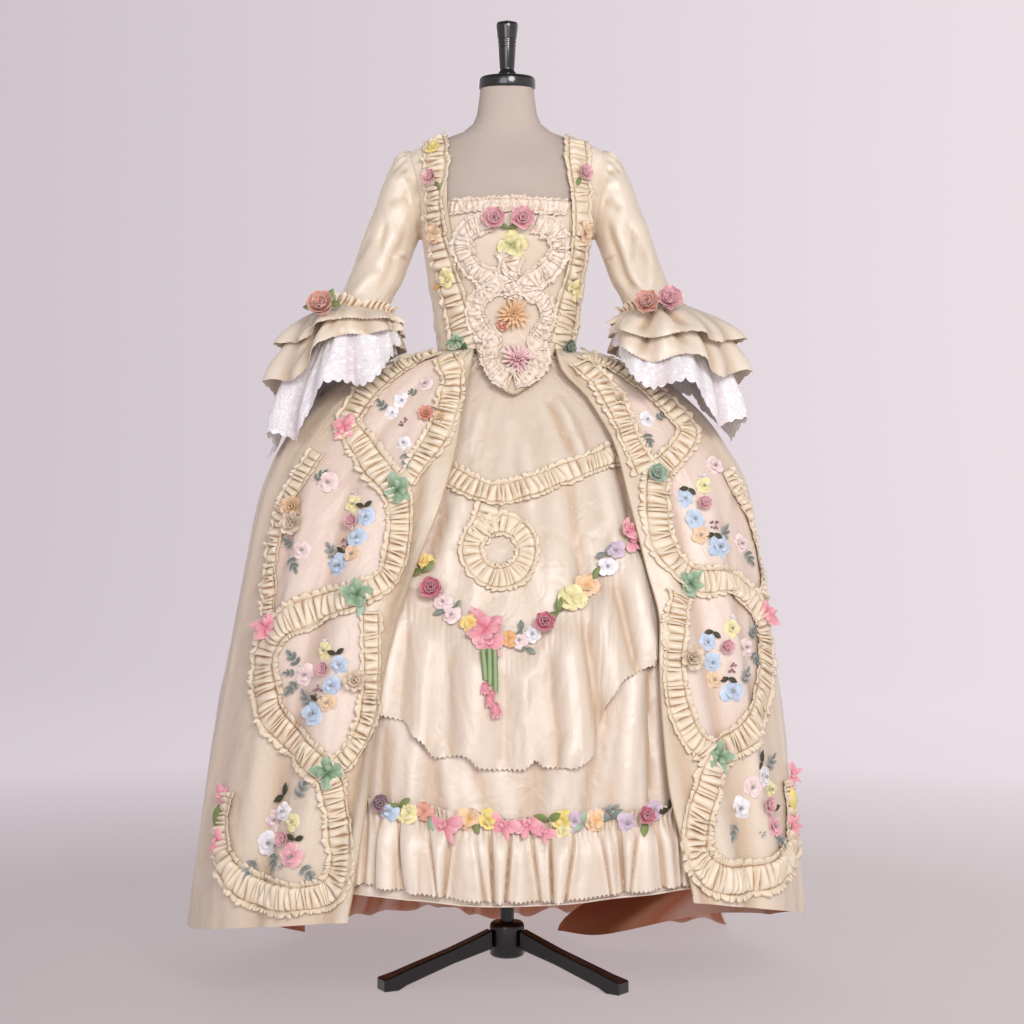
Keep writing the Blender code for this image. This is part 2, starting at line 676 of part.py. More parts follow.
def sleeve_point(side, turn, ring, grow=0.0):
    """A point of a sleeve: turn is 0 at its outer side, 90 at the back."""
    turn, ring = np.broadcast_arrays(np.asarray(turn, float), np.asarray(ring, float))
    ox, oz, ix, iz, depth, forward = (SLEEVE.at(n, ring) for n in list(SLEEVE.columns)[1:])
    half = np.stack([(ox - ix) / 2, 0 * ox, (oz - iz) / 2], -1)
    centre = np.stack([(ox + ix) / 2, -forward, (oz + iz) / 2], -1)
    longer = np.asarray(grow)[..., None] / np.linalg.norm(half, axis=-1, keepdims=True)
    half = half * (1 + longer)
    point = centre + half * np.cos(turn)[..., None]
    point[..., 1] += (depth + grow) * np.sin(turn)
    point[..., 0] -= 0.003 * np.sin(turn) ** 2 * np.clip(1 - ring, 0, 1)
    point[..., 0] *= side
    return point


SLEEVE_END = {
    # (out, down) of the outer, back, inner and front quarters, start clearance, waves, swing
    "satin_flounce": {
        -1: (((0.106, 0.152), (0.085, 0.092), (0.010, 0.030), (0.032, 0.045)), 0.0080, 6, 0.0050, 0.0200),
        1: (((0.108, 0.130), (0.085, 0.092), (0.010, 0.032), (0.055, 0.090)), 0.0080, 6, 0.0050, 0.0200),
    },
    "satin_upper_flounce": {
        -1: (((0.082, 0.078), (0.068, 0.056), (0.009, 0.016), (0.032, 0.020)), 0.0130, 6, 0.0030, 0.0280),
        1: (((0.094, 0.068), (0.070, 0.056), (0.009, 0.016), (0.056, 0.052)), 0.0130, 6, 0.0030, 0.0280),
    },
    "lace_ruffle": {
        -1: (((0.103, 0.252), (0.066, 0.140), (0.006, 0.052), (0.046, 0.125)), 0.0035, 6, 0.0080, 0.0110),
        1: (((0.103, 0.222), (0.066, 0.140), (0.006, 0.052), (0.056, 0.130)), 0.0035, 6, 0.0080, 0.0110),
    },
}
SLEEVE_WORDS = {-1: "left", 1: "right"}


def sleeve_grid(side, maker, turns, downs):
    """A closed grid in the order that faces outward on either side."""
    turn = np.arange(turns) * 2 * np.pi / turns
    points = maker(turn[None, :], downs[:, None])
    return points if side > 0 else points[:, ::-1]


def sleeves():
    for side, word in SLEEVE_WORDS.items():
        def tube(turn, ring):
            gathers = 0.0022 * np.where(np.arange(turn.shape[1]) % 2, -1, 1)
            gathers = gathers * np.clip(np.cos(turn), 0, 1) * smooth(ring) * smooth(2.5 - ring)
            return sleeve_point(side, turn, ring, gathers)

        sheet(f"sleeve_{word}", sleeve_grid(side, tube, 16, np.arange(8.0)), closed=True)

        def frill(turn, t):
            wave = np.where(np.arange(turn.shape[1]) % 2, 0.4, 1.0)
            points = sleeve_point(side, turn, 6.93 - 0.30 * (1 - t), 0.013 + 0.008 * (1 - t) * wave)
            return points

        sheet(f"sleeve_frill_{word}", sleeve_grid(side, frill, 16, np.array([0.0, 1.0])), closed=True)
        for kind, sizes in SLEEVE_END.items():
            quarters, start, waves, swing, gap = sizes[side]
            ruffle = Ruffle(side, start, quarters, waves, swing, gap)
            look = "lace" if kind == "lace_ruffle" else "satin"
            downs = np.array([0.0, 0.5, 1.0] if kind == "satin_upper_flounce" else [0.0, 0.3, 0.65, 1.0])
            grid = sleeve_grid(side, ruffle.point, 4 * waves, downs)
            sheet(f"{kind}_{word}", grid, look, closed=True)
    places = {-1: [(316, 0.34)], 1: [(264, 0.22), (290, 0.20)]}
    for side, word in SLEEVE_WORDS.items():
        quarters, start, waves, swing, gap = SLEEVE_END["satin_upper_flounce"][side]
        plain = Ruffle(side, start, quarters, 0, 0, gap)
        heads = []
        for degrees, t in places[side]:
            turn = np.radians(degrees)
            normal = plain.normal(turn, t)
            heads.append((plain.point(turn, t) + 0.008 * normal, normal, 0.046, 0.022))
        cluster(f"cuff_roses_{word}", heads, stem_width=0.016)


# The robe


def robe_front(side, word, columns=8, rows=13):
    v = np.linspace(0, 1, rows)[:, None] ** 1.15
    u = np.linspace(0, 1, columns)[None, :]
    hem = mix(*FRONT_HEM[side], u)
    z = mix(WAIST - SEAM, hem, v)
    edge = robe.front_angle(ROBE_EDGES.at(word, z), z)
    angle = mix(edge, side * (SIDE_SEAM - SEAM_TURN), u)
    points = robe.point(angle, z)
    sheet(f"robe_front_{word}", points if side > 0 else points[:, ::-1])


def sack_edge(z):
    """Half width of the sack back at a height above the floor."""
    hanging = slice(11, None, -1)
    return np.interp(z, SACK.columns["z"][hanging], SACK.columns["half"][hanging])


def robe_side(side, word):
    v = np.array([0, 0.05, 0.13, 0.24, 0.37, 0.51, 0.65, 0.77, 0.86, 0.93, 1.0])[:, None]
    u = np.array([0, 0.18, 0.36, 0.54, 0.70, 0.85, 1.0])[None, :]
    z = mix(WAIST - SEAM, SIDE_HEM.at(word, u), v)
    tucked = mix(0.92, 0.62, smooth((z - 0.90) / 0.22)) * sack_edge(z)
    last = side * np.pi - robe.front_angle(side * tucked, z)
    points = robe.point(mix(side * (SIDE_SEAM + SEAM_TURN), last, u), z)
    floor = SIDE_FLOOR[side]
    pull = floor.at("pull", u) * smooth(1 - z / SIDE_PULL[side])
    points[..., 0] = mix(points[..., 0], side * floor.at("x", u), pull)
    points[..., 1] = mix(points[..., 1], floor.at("y", u), pull)
    sheet(f"robe_side_{word}", points if side > 0 else points[:, ::-1])


def sack_point(place, row):
    """A point of the unpleated sack: place runs from -1 to 1 across it."""
    z, half, middle, edge = (SACK.at(n, row) for n in ("z", "half", "middle", "edge"))
    y = middle - (middle - edge) * np.abs(place) ** ROUND
    return np.stack(np.broadcast_arrays(half * place, y, z + CLOTH), -1)


def sack_back():
    row = np.arange(float(len(SACK.key)))[:, None]
    opened = SACK.at("open", row)
    folded_place, layer, open_place, relief = np.array(PLEATS).T
    place = mix(folded_place[None, :], open_place[None, :], opened)
    rise = mix(layer[None, :] * PLEAT_LAYER, relief[None, :], opened)
    place = np.hstack([place, -place[:, -2::-1]])
    rise = np.hstack([rise, rise[:, -2::-1]])
    step = 0.01
    base = sack_point(place, row)
    across = sack_point(place - step, row) - sack_point(place + step, row)
    down = sack_point(place, row + step) - sack_point(place, row - step)
    points = base + unit(np.cross(down, across)) * rise[..., None]
    points[..., 2] = np.maximum(points[..., 2], CLOTH)
    sheet("sack_back", points)


def robe_pieces():
    for side, word in SLEEVE_WORDS.items():
        robe_front(side, word)
        robe_side(side, word)
    sack_back()


# The petticoat and its flounces


def petticoat_pieces():
    seam = np.degrees(SEAM_TURN)
    angle = np.radians(np.clip(FOLDS.key, -90 + seam, 90 - seam))[None, :]
    v = np.linspace(0, 1, 8)[:, None] ** 1.2
    x_at_hem = petticoat.point(angle, 0.2 + 0 * angle)[..., 0]
    z = mix(PETTICOAT_TOP, PETTICOAT_HEM.at("z", x_at_hem), v)
    sheet("petticoat_front", petticoat.point(angle, z))
    angle = np.radians(np.linspace(90 + seam, 270 - seam, 9))[None, :]
    z = mix(PETTICOAT_TOP, PETTICOAT_BACK_HEM, np.linspace(0, 1, 6)[:, None] ** 1.2)
    sheet("petticoat_back", petticoat.point(angle, z + 0 * angle))


def flounce(name, sizes, waves, swing, rows):
    """A gathered flounce on the petticoat front, flatter where the robe covers it."""
    x = np.linspace(sizes.key[0], sizes.key[-1], 2 * waves + 1)[None, :]
    t = np.linspace(0, 1, rows)[:, None]
    z = mix(sizes.at("top", x), sizes.at("hem", x), t)
    wave = np.where(np.arange(2 * waves + 1) % 2, 0.0, 1.0)[None, :]
    left, right = ROBE_EDGES.at("left", z), ROBE_EDGES.at("right", z)
    shown = smooth((x - left + 0.01) / 0.03) * smooth((right + 0.01 - x) / 0.03)
    lift = 0.0045 + (0.002 + swing * wave * shown) * smooth(t * 1.3)
    sheet(name, petticoat.lifted(petticoat.front_angle(x, z), z, lift))


def petticoat_trims():
    flounce("petticoat_overlay", OVERLAY, 8, 0.008, 5)
    flounce("petticoat_hem_flounce", HEM_FLOUNCE, 11, 0.008, 3)
    swag = [(-0.082, 0.894), (-0.050, 0.877), (-0.012, 0.870), (0.040, 0.883), (0.092, 0.904), (0.180, 0.937)]
    band("petticoat_swag", petticoat, swag, 0.044, 0.007, 9)
    turn = np.linspace(0, 2 * np.pi, 13)[:-1]
    ring = [(-0.011 + 0.046 * math.sin(a), 0.775 + 0.045 * math.cos(a)) for a in turn]
    band("petticoat_rosette", petticoat, ring, 0.046, 0.007, 8, closed=True)


GARLAND = (
    # x, z, size, height
    (-0.128, 0.738, 0.036, 0.012), (-0.118, 0.704, 0.038, 0.014), (-0.096, 0.672, 0.038, 0.012),
    (-0.064, 0.647, 0.036, 0.012), (-0.030, 0.630, 0.056, 0.016), (0.008, 0.623, 0.038, 0.012),
    (0.042, 0.632, 0.038, 0.012), (0.069, 0.651, 0.036, 0.014), (0.090, 0.675, 0.034, 0.010),
    (0.110, 0.694, 0.044, 0.016), (0.142, 0.716, 0.038, 0.012), (0.174, 0.743, 0.038, 0.012),
    (0.190, 0.773, 0.034, 0.012), (0.200, 0.800, 0.034, 0.014),
)
HEM_GARLAND = (
    (-0.200, 0.348, 0.036, 0.010), (-0.168, 0.342, 0.036, 0.010), (-0.137, 0.336, 0.034, 0.010),
    (-0.100, 0.322, 0.050, 0.014), (-0.060, 0.327, 0.038, 0.012), (-0.034, 0.322, 0.036, 0.012),
    (0.000, 0.316, 0.050, 0.014), (0.046, 0.316, 0.042, 0.012), (0.084, 0.320, 0.036, 0.012),
    (0.117, 0.322, 0.036, 0.010), (0.150, 0.323, 0.038, 0.012), (0.188, 0.326, 0.038, 0.010),
    (0.224, 0.330, 0.038, 0.012), (0.253, 0.338, 0.030, 0.010),
)
TASSEL = ((-0.030, 0.596, 0.012, 0.006), (-0.028, 0.560, 0.012, 0.006), (-0.030, 0.535, 0.026, 0.012), (-0.021, 0.508, 0.024, 0.012))


def garlands():
    lift = 0.0045 + 0.0014
    cluster("petticoat_garland", heads_on(petticoat, GARLAND, lift + 0.004))
    cluster("garland_tassel", heads_on(petticoat, TASSEL, lift + 0.011), stem_width=0.006)
    cluster("hem_garland", heads_on(petticoat, HEM_GARLAND, lift + 0.005))


# Gathered trims and flower sprays on the robe fronts

TRIMS = {
    # path of (x, z) points, waves, and the ribbon bows on it
    "left_serpentine": (
        [(-0.176, 1.104), (-0.235, 1.061), (-0.264, 1.026), (-0.277, 0.992), (-0.257, 0.962), (-0.230, 0.922),
         (-0.194, 0.878), (-0.183, 0.830), (-0.186, 0.775), (-0.204, 0.728), (-0.250, 0.701), (-0.322, 0.676),
         (-0.380, 0.648), (-0.411, 0.600), (-0.413, 0.540), (-0.395, 0.485), (-0.350, 0.442), (-0.300, 0.400),
         (-0.286, 0.350), (-0.277, 0.300), (-0.275, 0.250), (-0.292, 0.212), (-0.334, 0.198), (-0.390, 0.195),
         (-0.440, 0.205), (-0.475, 0.240), (-0.487, 0.289), (-0.480, 0.358)],
        16,
        [(-0.188, 0.872, 0.050, 0.014), (-0.281, 0.990, 0.046, 0.014), (-0.246, 0.700, 0.048, 0.014),
         (-0.405, 0.632, 0.040, 0.012), (-0.298, 0.403, 0.046, 0.014)],
    ),
    "left_top": (
        [(-0.110, 1.098), (-0.097, 1.080), (-0.094, 1.060), (-0.100, 1.030), (-0.110, 0.992), (-0.130, 0.950),
         (-0.150, 0.920)],
        3, [],
    ),
    "left_side": (
        [(-0.336, 0.935), (-0.362, 0.896), (-0.388, 0.850), (-0.404, 0.790), (-0.410, 0.734), (-0.412, 0.682)],
        3, [],
    ),
    "left_low": (
        [(-0.230, 0.668), (-0.229, 0.628), (-0.228, 0.590), (-0.227, 0.545), (-0.230, 0.500), (-0.245, 0.462)],
        3, [],
    ),
    "right_serpentine": (
        [(0.190, 1.098), (0.250, 1.058), (0.300, 1.010), (0.318, 0.980), (0.300, 0.948), (0.262, 0.905),
         (0.259, 0.850), (0.264, 0.795), (0.290, 0.750), (0.330, 0.722), (0.380, 0.720), (0.420, 0.694),
         (0.445, 0.650), (0.452, 0.590), (0.445, 0.524), (0.415, 0.466), (0.356, 0.424), (0.334, 0.368),
         (0.319, 0.320), (0.316, 0.275), (0.332, 0.243), (0.363, 0.224), (0.410, 0.218), (0.455, 0.224),
         (0.490, 0.245), (0.496, 0.290), (0.488, 0.370)],
        16,
        [(0.256, 0.900, 0.048, 0.014), (0.312, 0.728, 0.048, 0.014), (0.446, 0.660, 0.036, 0.012),
         (0.354, 0.428, 0.046, 0.014)],
    ),
    "right_top": (
        [(0.128, 1.094), (0.166, 1.060), (0.192, 1.024), (0.206, 0.990), (0.214, 0.965), (0.222, 0.945)],
        3, [(0.190, 1.030, 0.048, 0.010)],
    ),
    "right_side": (
        [(0.394, 0.900), (0.410, 0.866), (0.426, 0.826), (0.438, 0.780), (0.444, 0.740)],
        3, [],
    ),
    "right_low": (
        [(0.293, 0.688), (0.286, 0.650), (0.283, 0.610), (0.283, 0.560), (0.290, 0.510), (0.306, 0.470)],
        3, [],
    ),
}
SPRAYS = {
    "left_upper": (
        (-0.308, 0.890, 0.034, 0.008), (-0.264, 0.850, 0.028, 0.008), (-0.260, 0.822, 0.030, 0.008),
        (-0.236, 0.812, 0.030, 0.008), (-0.258, 0.786, 0.030, 0.008), (-0.288, 0.752, 0.040, 0.009),
        (-0.340, 0.772, 0.032, 0.008),
    ),
    "left_middle": (
        (-0.304, 0.605, 0.028, 0.008), (-0.280, 0.586, 0.030, 0.008), (-0.302, 0.570, 0.030, 0.008),
        (-0.289, 0.548, 0.028, 0.008), (-0.304, 0.524, 0.028, 0.008), (-0.323, 0.499, 0.040, 0.009),
        (-0.344, 0.560, 0.032, 0.008),
    ),
    "left_lower": (
        (-0.381, 0.361, 0.030, 0.008), (-0.360, 0.328, 0.034, 0.008), (-0.400, 0.319, 0.034, 0.008),
        (-0.412, 0.280, 0.042, 0.009), (-0.369, 0.290, 0.036, 0.008), (-0.350, 0.262, 0.042, 0.009),
    ),
    "right_upper": (
        (0.352, 0.920, 0.034, 0.008), (0.338, 0.888, 0.030, 0.008), (0.317, 0.868, 0.030, 0.008),
        (0.339, 0.855, 0.030, 0.008), (0.330, 0.832, 0.028, 0.008), (0.350, 0.812, 0.028, 0.008),
        (0.360, 0.780, 0.040, 0.009),
    ),
    "right_middle": (
        (0.384, 0.646, 0.028, 0.008), (0.358, 0.630, 0.030, 0.008), (0.378, 0.612, 0.030, 0.008),
        (0.368, 0.588, 0.028, 0.008), (0.388, 0.572, 0.028, 0.008), (0.382, 0.536, 0.040, 0.009),
    ),
    "right_lower": (
        (0.445, 0.406, 0.028, 0.008), (0.430, 0.378, 0.034, 0.008), (0.404, 0.338, 0.042, 0.009),
        (0.438, 0.340, 0.036, 0.008), (0.450, 0.300, 0.042, 0.009), (0.395, 0.296, 0.030, 0.008),
    ),
}


def robe_trims():
    for name, (path, waves, bows) in TRIMS.items():
        strip = band(f"robe_trim_{name}", robe, path, 0.046, 0.007, waves)
        if bows:
            with_flowers(strip, robe, bows, TRIM_LIFT + 0.003)
    for name, flowers in SPRAYS.items():
        cluster(f"spray_{name}", heads_on(robe, flowers, TRIM_LIFT), stem_width=0.005)


def main():
    for obj in list(bpy.data.objects):
        bpy.data.objects.remove(obj)
    dress_form()
    stand()
    bodice_pieces()
    stomacher_piece()
    robings()
    sleeves()
    robe_pieces()
    petticoat_pieces()
    petticoat_trims()
    garlands()
    robe_trims()


main()
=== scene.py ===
import math
import random

import bmesh
import bpy
import numpy as np
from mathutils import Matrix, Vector


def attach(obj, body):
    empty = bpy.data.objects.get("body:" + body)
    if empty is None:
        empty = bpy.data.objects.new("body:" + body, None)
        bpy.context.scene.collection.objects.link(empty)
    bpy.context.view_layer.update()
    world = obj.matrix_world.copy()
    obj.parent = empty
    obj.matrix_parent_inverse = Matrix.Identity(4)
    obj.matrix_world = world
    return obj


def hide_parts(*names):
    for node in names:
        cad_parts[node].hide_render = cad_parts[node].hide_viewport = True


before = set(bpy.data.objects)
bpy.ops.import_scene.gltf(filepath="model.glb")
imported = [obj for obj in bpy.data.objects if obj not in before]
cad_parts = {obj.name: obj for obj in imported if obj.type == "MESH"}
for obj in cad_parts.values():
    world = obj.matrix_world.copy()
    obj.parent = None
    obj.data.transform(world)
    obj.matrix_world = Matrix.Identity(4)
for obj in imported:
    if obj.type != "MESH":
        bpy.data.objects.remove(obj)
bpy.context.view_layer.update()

poleShift = np.array([0.018, -0.2972, 0.0])  # from the pole's axis to the frame's middle
roundness = 2.3  # 2 would be an ellipse
waistHeight = 1.1277
sides = {-1: "left", 1: "right"}
random.seed(1775)


def say(words):
    print("gown:", words)


def rgb(*shades):
    return tuple(((c / 255 + 0.055) / 1.055) ** 2.4 if c > 10 else c / 255 / 12.92 for c in shades)


def mix(start, end, share):
    return start + (end - start) * share


def smooth(share):
    share = np.clip(share, 0.0, 1.0)
    return share * share * (3 - 2 * share)


def unit(vectors):
    return vectors / np.maximum(np.linalg.norm(vectors, axis=-1, keepdims=True), 1e-12)


def distances(points):  # how far each row is along, as a mean over the columns
    steps = np.linalg.norm(np.diff(points, axis=0), axis=-1).reshape(len(points) - 1, -1)
    return np.concatenate([[0], np.cumsum(steps.mean(1))])


def readAt(want, run, points):
    return np.stack([np.interp(want, run, column) for column in points.T], -1)


def outward(points, side):  # columns run to the right on both sides of the gown
    return points if side > 0 else points[:, ::-1]


# Sections of the form and of the gown


class SizeTable:  # rows of sizes, read smoothly along the first column
    def __init__(self, names, *rows):
        rows = np.array(sorted(rows), float)
        self.key = rows[:, 0]
        self.columns = dict(zip(names.split()[1:], rows.T[1:]))

    def at(self, name, where):
        values = self.columns[name]
        step = np.diff(self.key)
        rise = np.diff(values) / step
        slope = np.concatenate([rise[:1], np.zeros(len(rise) - 1), rise[-1:]])
        same = rise[:-1] * rise[1:] > 0
        both = np.where(same, rise[:-1] + rise[1:], 1.0)
        slope[1:-1] = np.where(same, 2 * rise[:-1] * rise[1:] / both, 0.0)
        where = np.clip(where, self.key[0], self.key[-1])
        i = np.clip(np.searchsorted(self.key, where) - 1, 0, len(step) - 1)
        t = (where - self.key[i]) / step[i]
        start = (1 + 2 * t) * (1 - t) ** 2 * values[i] + t * (1 - t) ** 2 * step[i] * slope[i]
        end = t * t * (3 - 2 * t) * values[i + 1] + t * t * (t - 1) * step[i] * slope[i + 1]
        return start + end

    def sizes(self, z):
        return tuple(self.at(name, z) for name in ("left", "right", "front", "back"))


torsoSizes = SizeTable(
    "z left right front back",
    (0.88, 0.15, 0.15, 0.098, 0.11), (0.96, 0.166, 0.166, 0.106, 0.122), (1.04, 0.146, 0.146, 0.092, 0.106),
    (1.128, 0.112, 0.112, 0.086, 0.08), (1.2, 0.122, 0.122, 0.097, 0.09),
    (1.28, 0.137, 0.137, 0.114, 0.097), (1.34, 0.148, 0.148, 0.125, 0.101),
    (1.4, 0.158, 0.158, 0.114, 0.105), (1.44, 0.169, 0.169, 0.095, 0.103),
    (1.47, 0.176, 0.176, 0.076, 0.093), (1.487, 0.166, 0.166, 0.065, 0.083),
    (1.505, 0.126, 0.126, 0.055, 0.071), (1.522, 0.08, 0.08, 0.049, 0.059),
    (1.545, 0.0565, 0.0565, 0.047, 0.052), (1.572, 0.0515, 0.0515, 0.046, 0.049),
    (1.6, 0.048, 0.048, 0.043, 0.045),
)
bodiceSizes = SizeTable(
    "z left right front back",
    (1.128, 0.125, 0.124, 0.098, 0.092), (1.2, 0.133, 0.132, 0.104, 0.098),
    (1.28, 0.146, 0.145, 0.12, 0.104), (1.34, 0.154, 0.154, 0.131, 0.107), (1.4, 0.163, 0.163, 0.12, 0.111),
    (1.44, 0.174, 0.174, 0.1, 0.109), (1.47, 0.181, 0.181, 0.081, 0.099),
    (1.487, 0.172, 0.172, 0.07, 0.089), (1.505, 0.137, 0.137, 0.061, 0.077),
    (1.52, 0.105, 0.105, 0.056, 0.069),
)
robeSizes = SizeTable(
    "z left right front back",
    (1.1277, 0.125, 0.124, 0.098, 0.092), (1.11, 0.212, 0.204, 0.108, 0.128),
    (1.06, 0.315, 0.3, 0.132, 0.17), (0.98, 0.391, 0.379, 0.166, 0.215), (0.88, 0.437, 0.429, 0.208, 0.258),
    (0.74, 0.466, 0.45, 0.26, 0.312), (0.56, 0.5, 0.48, 0.312, 0.375), (0.36, 0.536, 0.503, 0.35, 0.435),
    (0.17, 0.562, 0.528, 0.378, 0.48), (0.0, 0.577, 0.542, 0.39, 0.505),
)
stomacherSizes = SizeTable(
    "z left right front",
    (1.385, -0.104, 0.113, 0.124), (1.34, -0.097, 0.11, 0.131), (1.28, -0.086, 0.103, 0.12),
    (1.2, -0.07, 0.095, 0.105), (1.13, -0.053, 0.083, 0.1), (1.11, -0.048, 0.078, 0.105),
    (1.09, -0.038, 0.064, 0.114), (1.07, -0.024, 0.045, 0.123), (1.055, -0.01, 0.03, 0.13),
    (1.047, 0.004, 0.018, 0.134),
)
robeEdges = SizeTable(
    "z left right",
    (1.1277, -0.058, 0.0855), (1.09, -0.064, 0.096), (1.04, -0.074, 0.142), (0.954, -0.086, 0.188),
    (0.866, -0.109, 0.212), (0.75, -0.15, 0.239), (0.64, -0.188, 0.262), (0.526, -0.211, 0.26),
    (0.39, -0.224, 0.268), (0.261, -0.243, 0.296), (0.16, -0.26, 0.312),
)

# Soft creases, listed as (across, height) from and to, width and depth in metres
robeFrontCreases = (
    (-0.098, 1.1, -0.245, 0.05, 0.016, 0.005), (-0.118, 1.05, -0.33, 0.05, 0.022, -0.006),
    (-0.19, 1.03, -0.392, 0.05, 0.026, 0.005), (-0.25, 1.0, -0.455, 0.05, 0.022, -0.007),
    (-0.31, 1.02, -0.515, 0.05, 0.024, 0.006), (-0.345, 0.96, -0.48, 0.2, 0.014, -0.004),
    (-0.18, 0.62, -0.3, 0.02, 0.02, 0.005), (-0.38, 0.6, -0.43, 0.05, 0.017, -0.0045),
    (-0.06, 1.12, -0.15, 0.96, 0.012, -0.0035), (-0.14, 1.09, -0.25, 0.93, 0.013, -0.003),
    (0.11, 1.1, 0.3, 0.05, 0.018, 0.0045), (0.17, 1.04, 0.362, 0.05, 0.022, -0.006),
    (0.215, 1.03, 0.405, 0.05, 0.022, 0.0055), (0.27, 0.99, 0.442, 0.05, 0.02, -0.0065),
    (0.32, 1.0, 0.482, 0.05, 0.022, 0.0055), (0.365, 0.92, 0.47, 0.22, 0.014, -0.004),
    (0.262, 0.6, 0.335, 0.03, 0.018, 0.0045), (0.395, 0.58, 0.42, 0.06, 0.015, -0.004),
    (0.1, 1.12, 0.18, 0.97, 0.012, -0.0035), (0.16, 1.09, 0.255, 0.95, 0.012, -0.003),
)
robeSideCreases = {
    # here across runs from front to back
    -1: (
        (-0.12, 1.08, -0.215, 0.02, 0.026, -0.007), (-0.06, 1.09, -0.13, 0.02, 0.02, 0.006),
        (-0.03, 1.08, -0.045, 0.02, 0.024, -0.009), (0.0, 1.09, 0.035, 0.02, 0.02, 0.007),
        (0.02, 1.08, 0.105, 0.02, 0.024, -0.01), (0.05, 1.09, 0.185, 0.02, 0.022, 0.008),
        (0.08, 1.07, 0.255, 0.02, 0.026, -0.009), (0.11, 1.05, 0.33, 0.02, 0.024, 0.007),
        (0.01, 0.62, 0.075, 0.05, 0.012, 0.0045), (-0.08, 0.66, -0.095, 0.06, 0.013, -0.0045),
    ),
    1: (
        (-0.11, 1.08, -0.2, 0.02, 0.024, -0.008), (-0.05, 1.09, -0.115, 0.02, 0.022, 0.006),
        (-0.025, 1.08, -0.03, 0.02, 0.026, -0.008), (0.01, 1.09, 0.055, 0.02, 0.022, 0.008),
        (0.03, 1.08, 0.12, 0.02, 0.022, -0.009), (0.06, 1.09, 0.2, 0.02, 0.024, 0.007),
        (0.09, 1.07, 0.27, 0.02, 0.024, -0.01), (0.12, 1.05, 0.34, 0.02, 0.022, 0.006),
        (0.02, 0.58, 0.085, 0.05, 0.012, 0.005), (-0.07, 0.7, -0.08, 0.06, 0.013, -0.0045),
    ),
}
petticoatCreases = (
    (-0.04, 1.03, -0.07, 0.93, 0.01, 0.003), (0.01, 1.02, 0.0, 0.88, 0.014, 0.0025),
    (0.07, 1.05, 0.12, 0.93, 0.01, -0.006), (0.088, 1.04, 0.14, 0.92, 0.008, 0.006),
    (0.03, 1.0, 0.055, 0.66, 0.013, 0.0045), (0.1, 0.94, 0.135, 0.68, 0.014, -0.005),
    (0.15, 0.95, 0.2, 0.72, 0.014, 0.005), (0.186, 0.97, 0.236, 0.74, 0.012, -0.01),
    (-0.07, 0.9, -0.12, 0.7, 0.014, 0.0055), (-0.1, 0.86, -0.15, 0.72, 0.01, -0.006),
    (-0.02, 0.72, -0.06, 0.62, 0.016, -0.003), (0.08, 0.8, 0.07, 0.66, 0.012, 0.0035),
    (-0.2, 0.52, -0.215, 0.16, 0.012, -0.006), (-0.15, 0.5, -0.165, 0.16, 0.012, 0.005),
    (-0.11, 0.46, -0.08, 0.3, 0.01, 0.005), (-0.06, 0.44, -0.02, 0.31, 0.012, -0.0045),
    (-0.01, 0.43, 0.01, 0.31, 0.01, 0.004), (0.06, 0.44, 0.03, 0.31, 0.012, -0.005),
    (0.11, 0.47, 0.07, 0.31, 0.01, 0.006), (0.17, 0.55, 0.13, 0.32, 0.014, -0.007),
    (0.215, 0.6, 0.19, 0.3, 0.012, 0.007), (0.245, 0.62, 0.24, 0.28, 0.01, -0.008),
)


def creaseRelief(across, down, creases, fades=(4.5, 4.5), turned=False):
    # each crease fades in and out at its ends; turned ones run across in degrees
    relief = 0.0
    for startAcross, startDown, endAcross, endDown, width, depth in creases:
        t = (down - startDown) / (endDown - startDown)
        off = across - mix(startAcross, endAcross, np.clip(t, 0, 1))
        if turned:
            off = (off + 180) % 360 - 180
        shown = smooth(fades[0] * t) * smooth(fades[1] * (1 - t))
        relief = relief + depth * shown * np.exp(-((off / width) ** 2))
    return relief


class Body:  # a surface of rounded sections; an angle of 0 is the front and 90 is the right
    def __init__(self, sizes, relief=None):
        self.sizes, self.relief = sizes, relief

    def point(self, angle, z):
        angle, z = np.broadcast_arrays(np.asarray(angle, float), np.asarray(z, float))
        left, right, front, back = self.sizes(z)
        s, c = np.sin(angle), np.cos(angle)
        across = np.sign(s) * np.abs(s) ** (2 / roundness)
        ahead = np.sign(c) * np.abs(c) ** (2 / roundness)
        wide, deep = np.where(s < 0, left, right), np.where(c > 0, front, back)
        if self.relief:
            grow = self.relief(angle, wide * across, -deep * ahead, z)
            wide, deep = wide + grow, deep + grow
        return np.stack([wide * across, -deep * ahead, z], -1)

    def normal(self, angle, z, step=2e-3):
        across = self.point(angle + step, z) - self.point(angle - step, z)
        down = self.point(angle, z - step) - self.point(angle, z + step)
        return unit(np.cross(down, across))

    def lifted(self, angle, z, lift):
        return self.point(angle, z) + self.normal(angle, z) * np.asarray(lift)[..., None]

    def place(self, points):
        x, y, z = np.moveaxis(points, -1, 0)
        left, right, front, back = self.sizes(z)
        across = np.sign(x) * np.abs(x / np.where(x < 0, left, right)) ** (roundness / 2)
        ahead = -np.sign(y) * np.abs(y / np.where(y < 0, front, back)) ** (roundness / 2)
        return np.arctan2(across, ahead), z

    def frontAngle(self, x, z):
        left, right = self.sizes(z)[:2]
        half = np.where(np.asarray(x) < 0, left, right)
        return np.sign(x) * np.arcsin(np.clip(np.abs(x) / half, 0, 1) ** (roundness / 2))


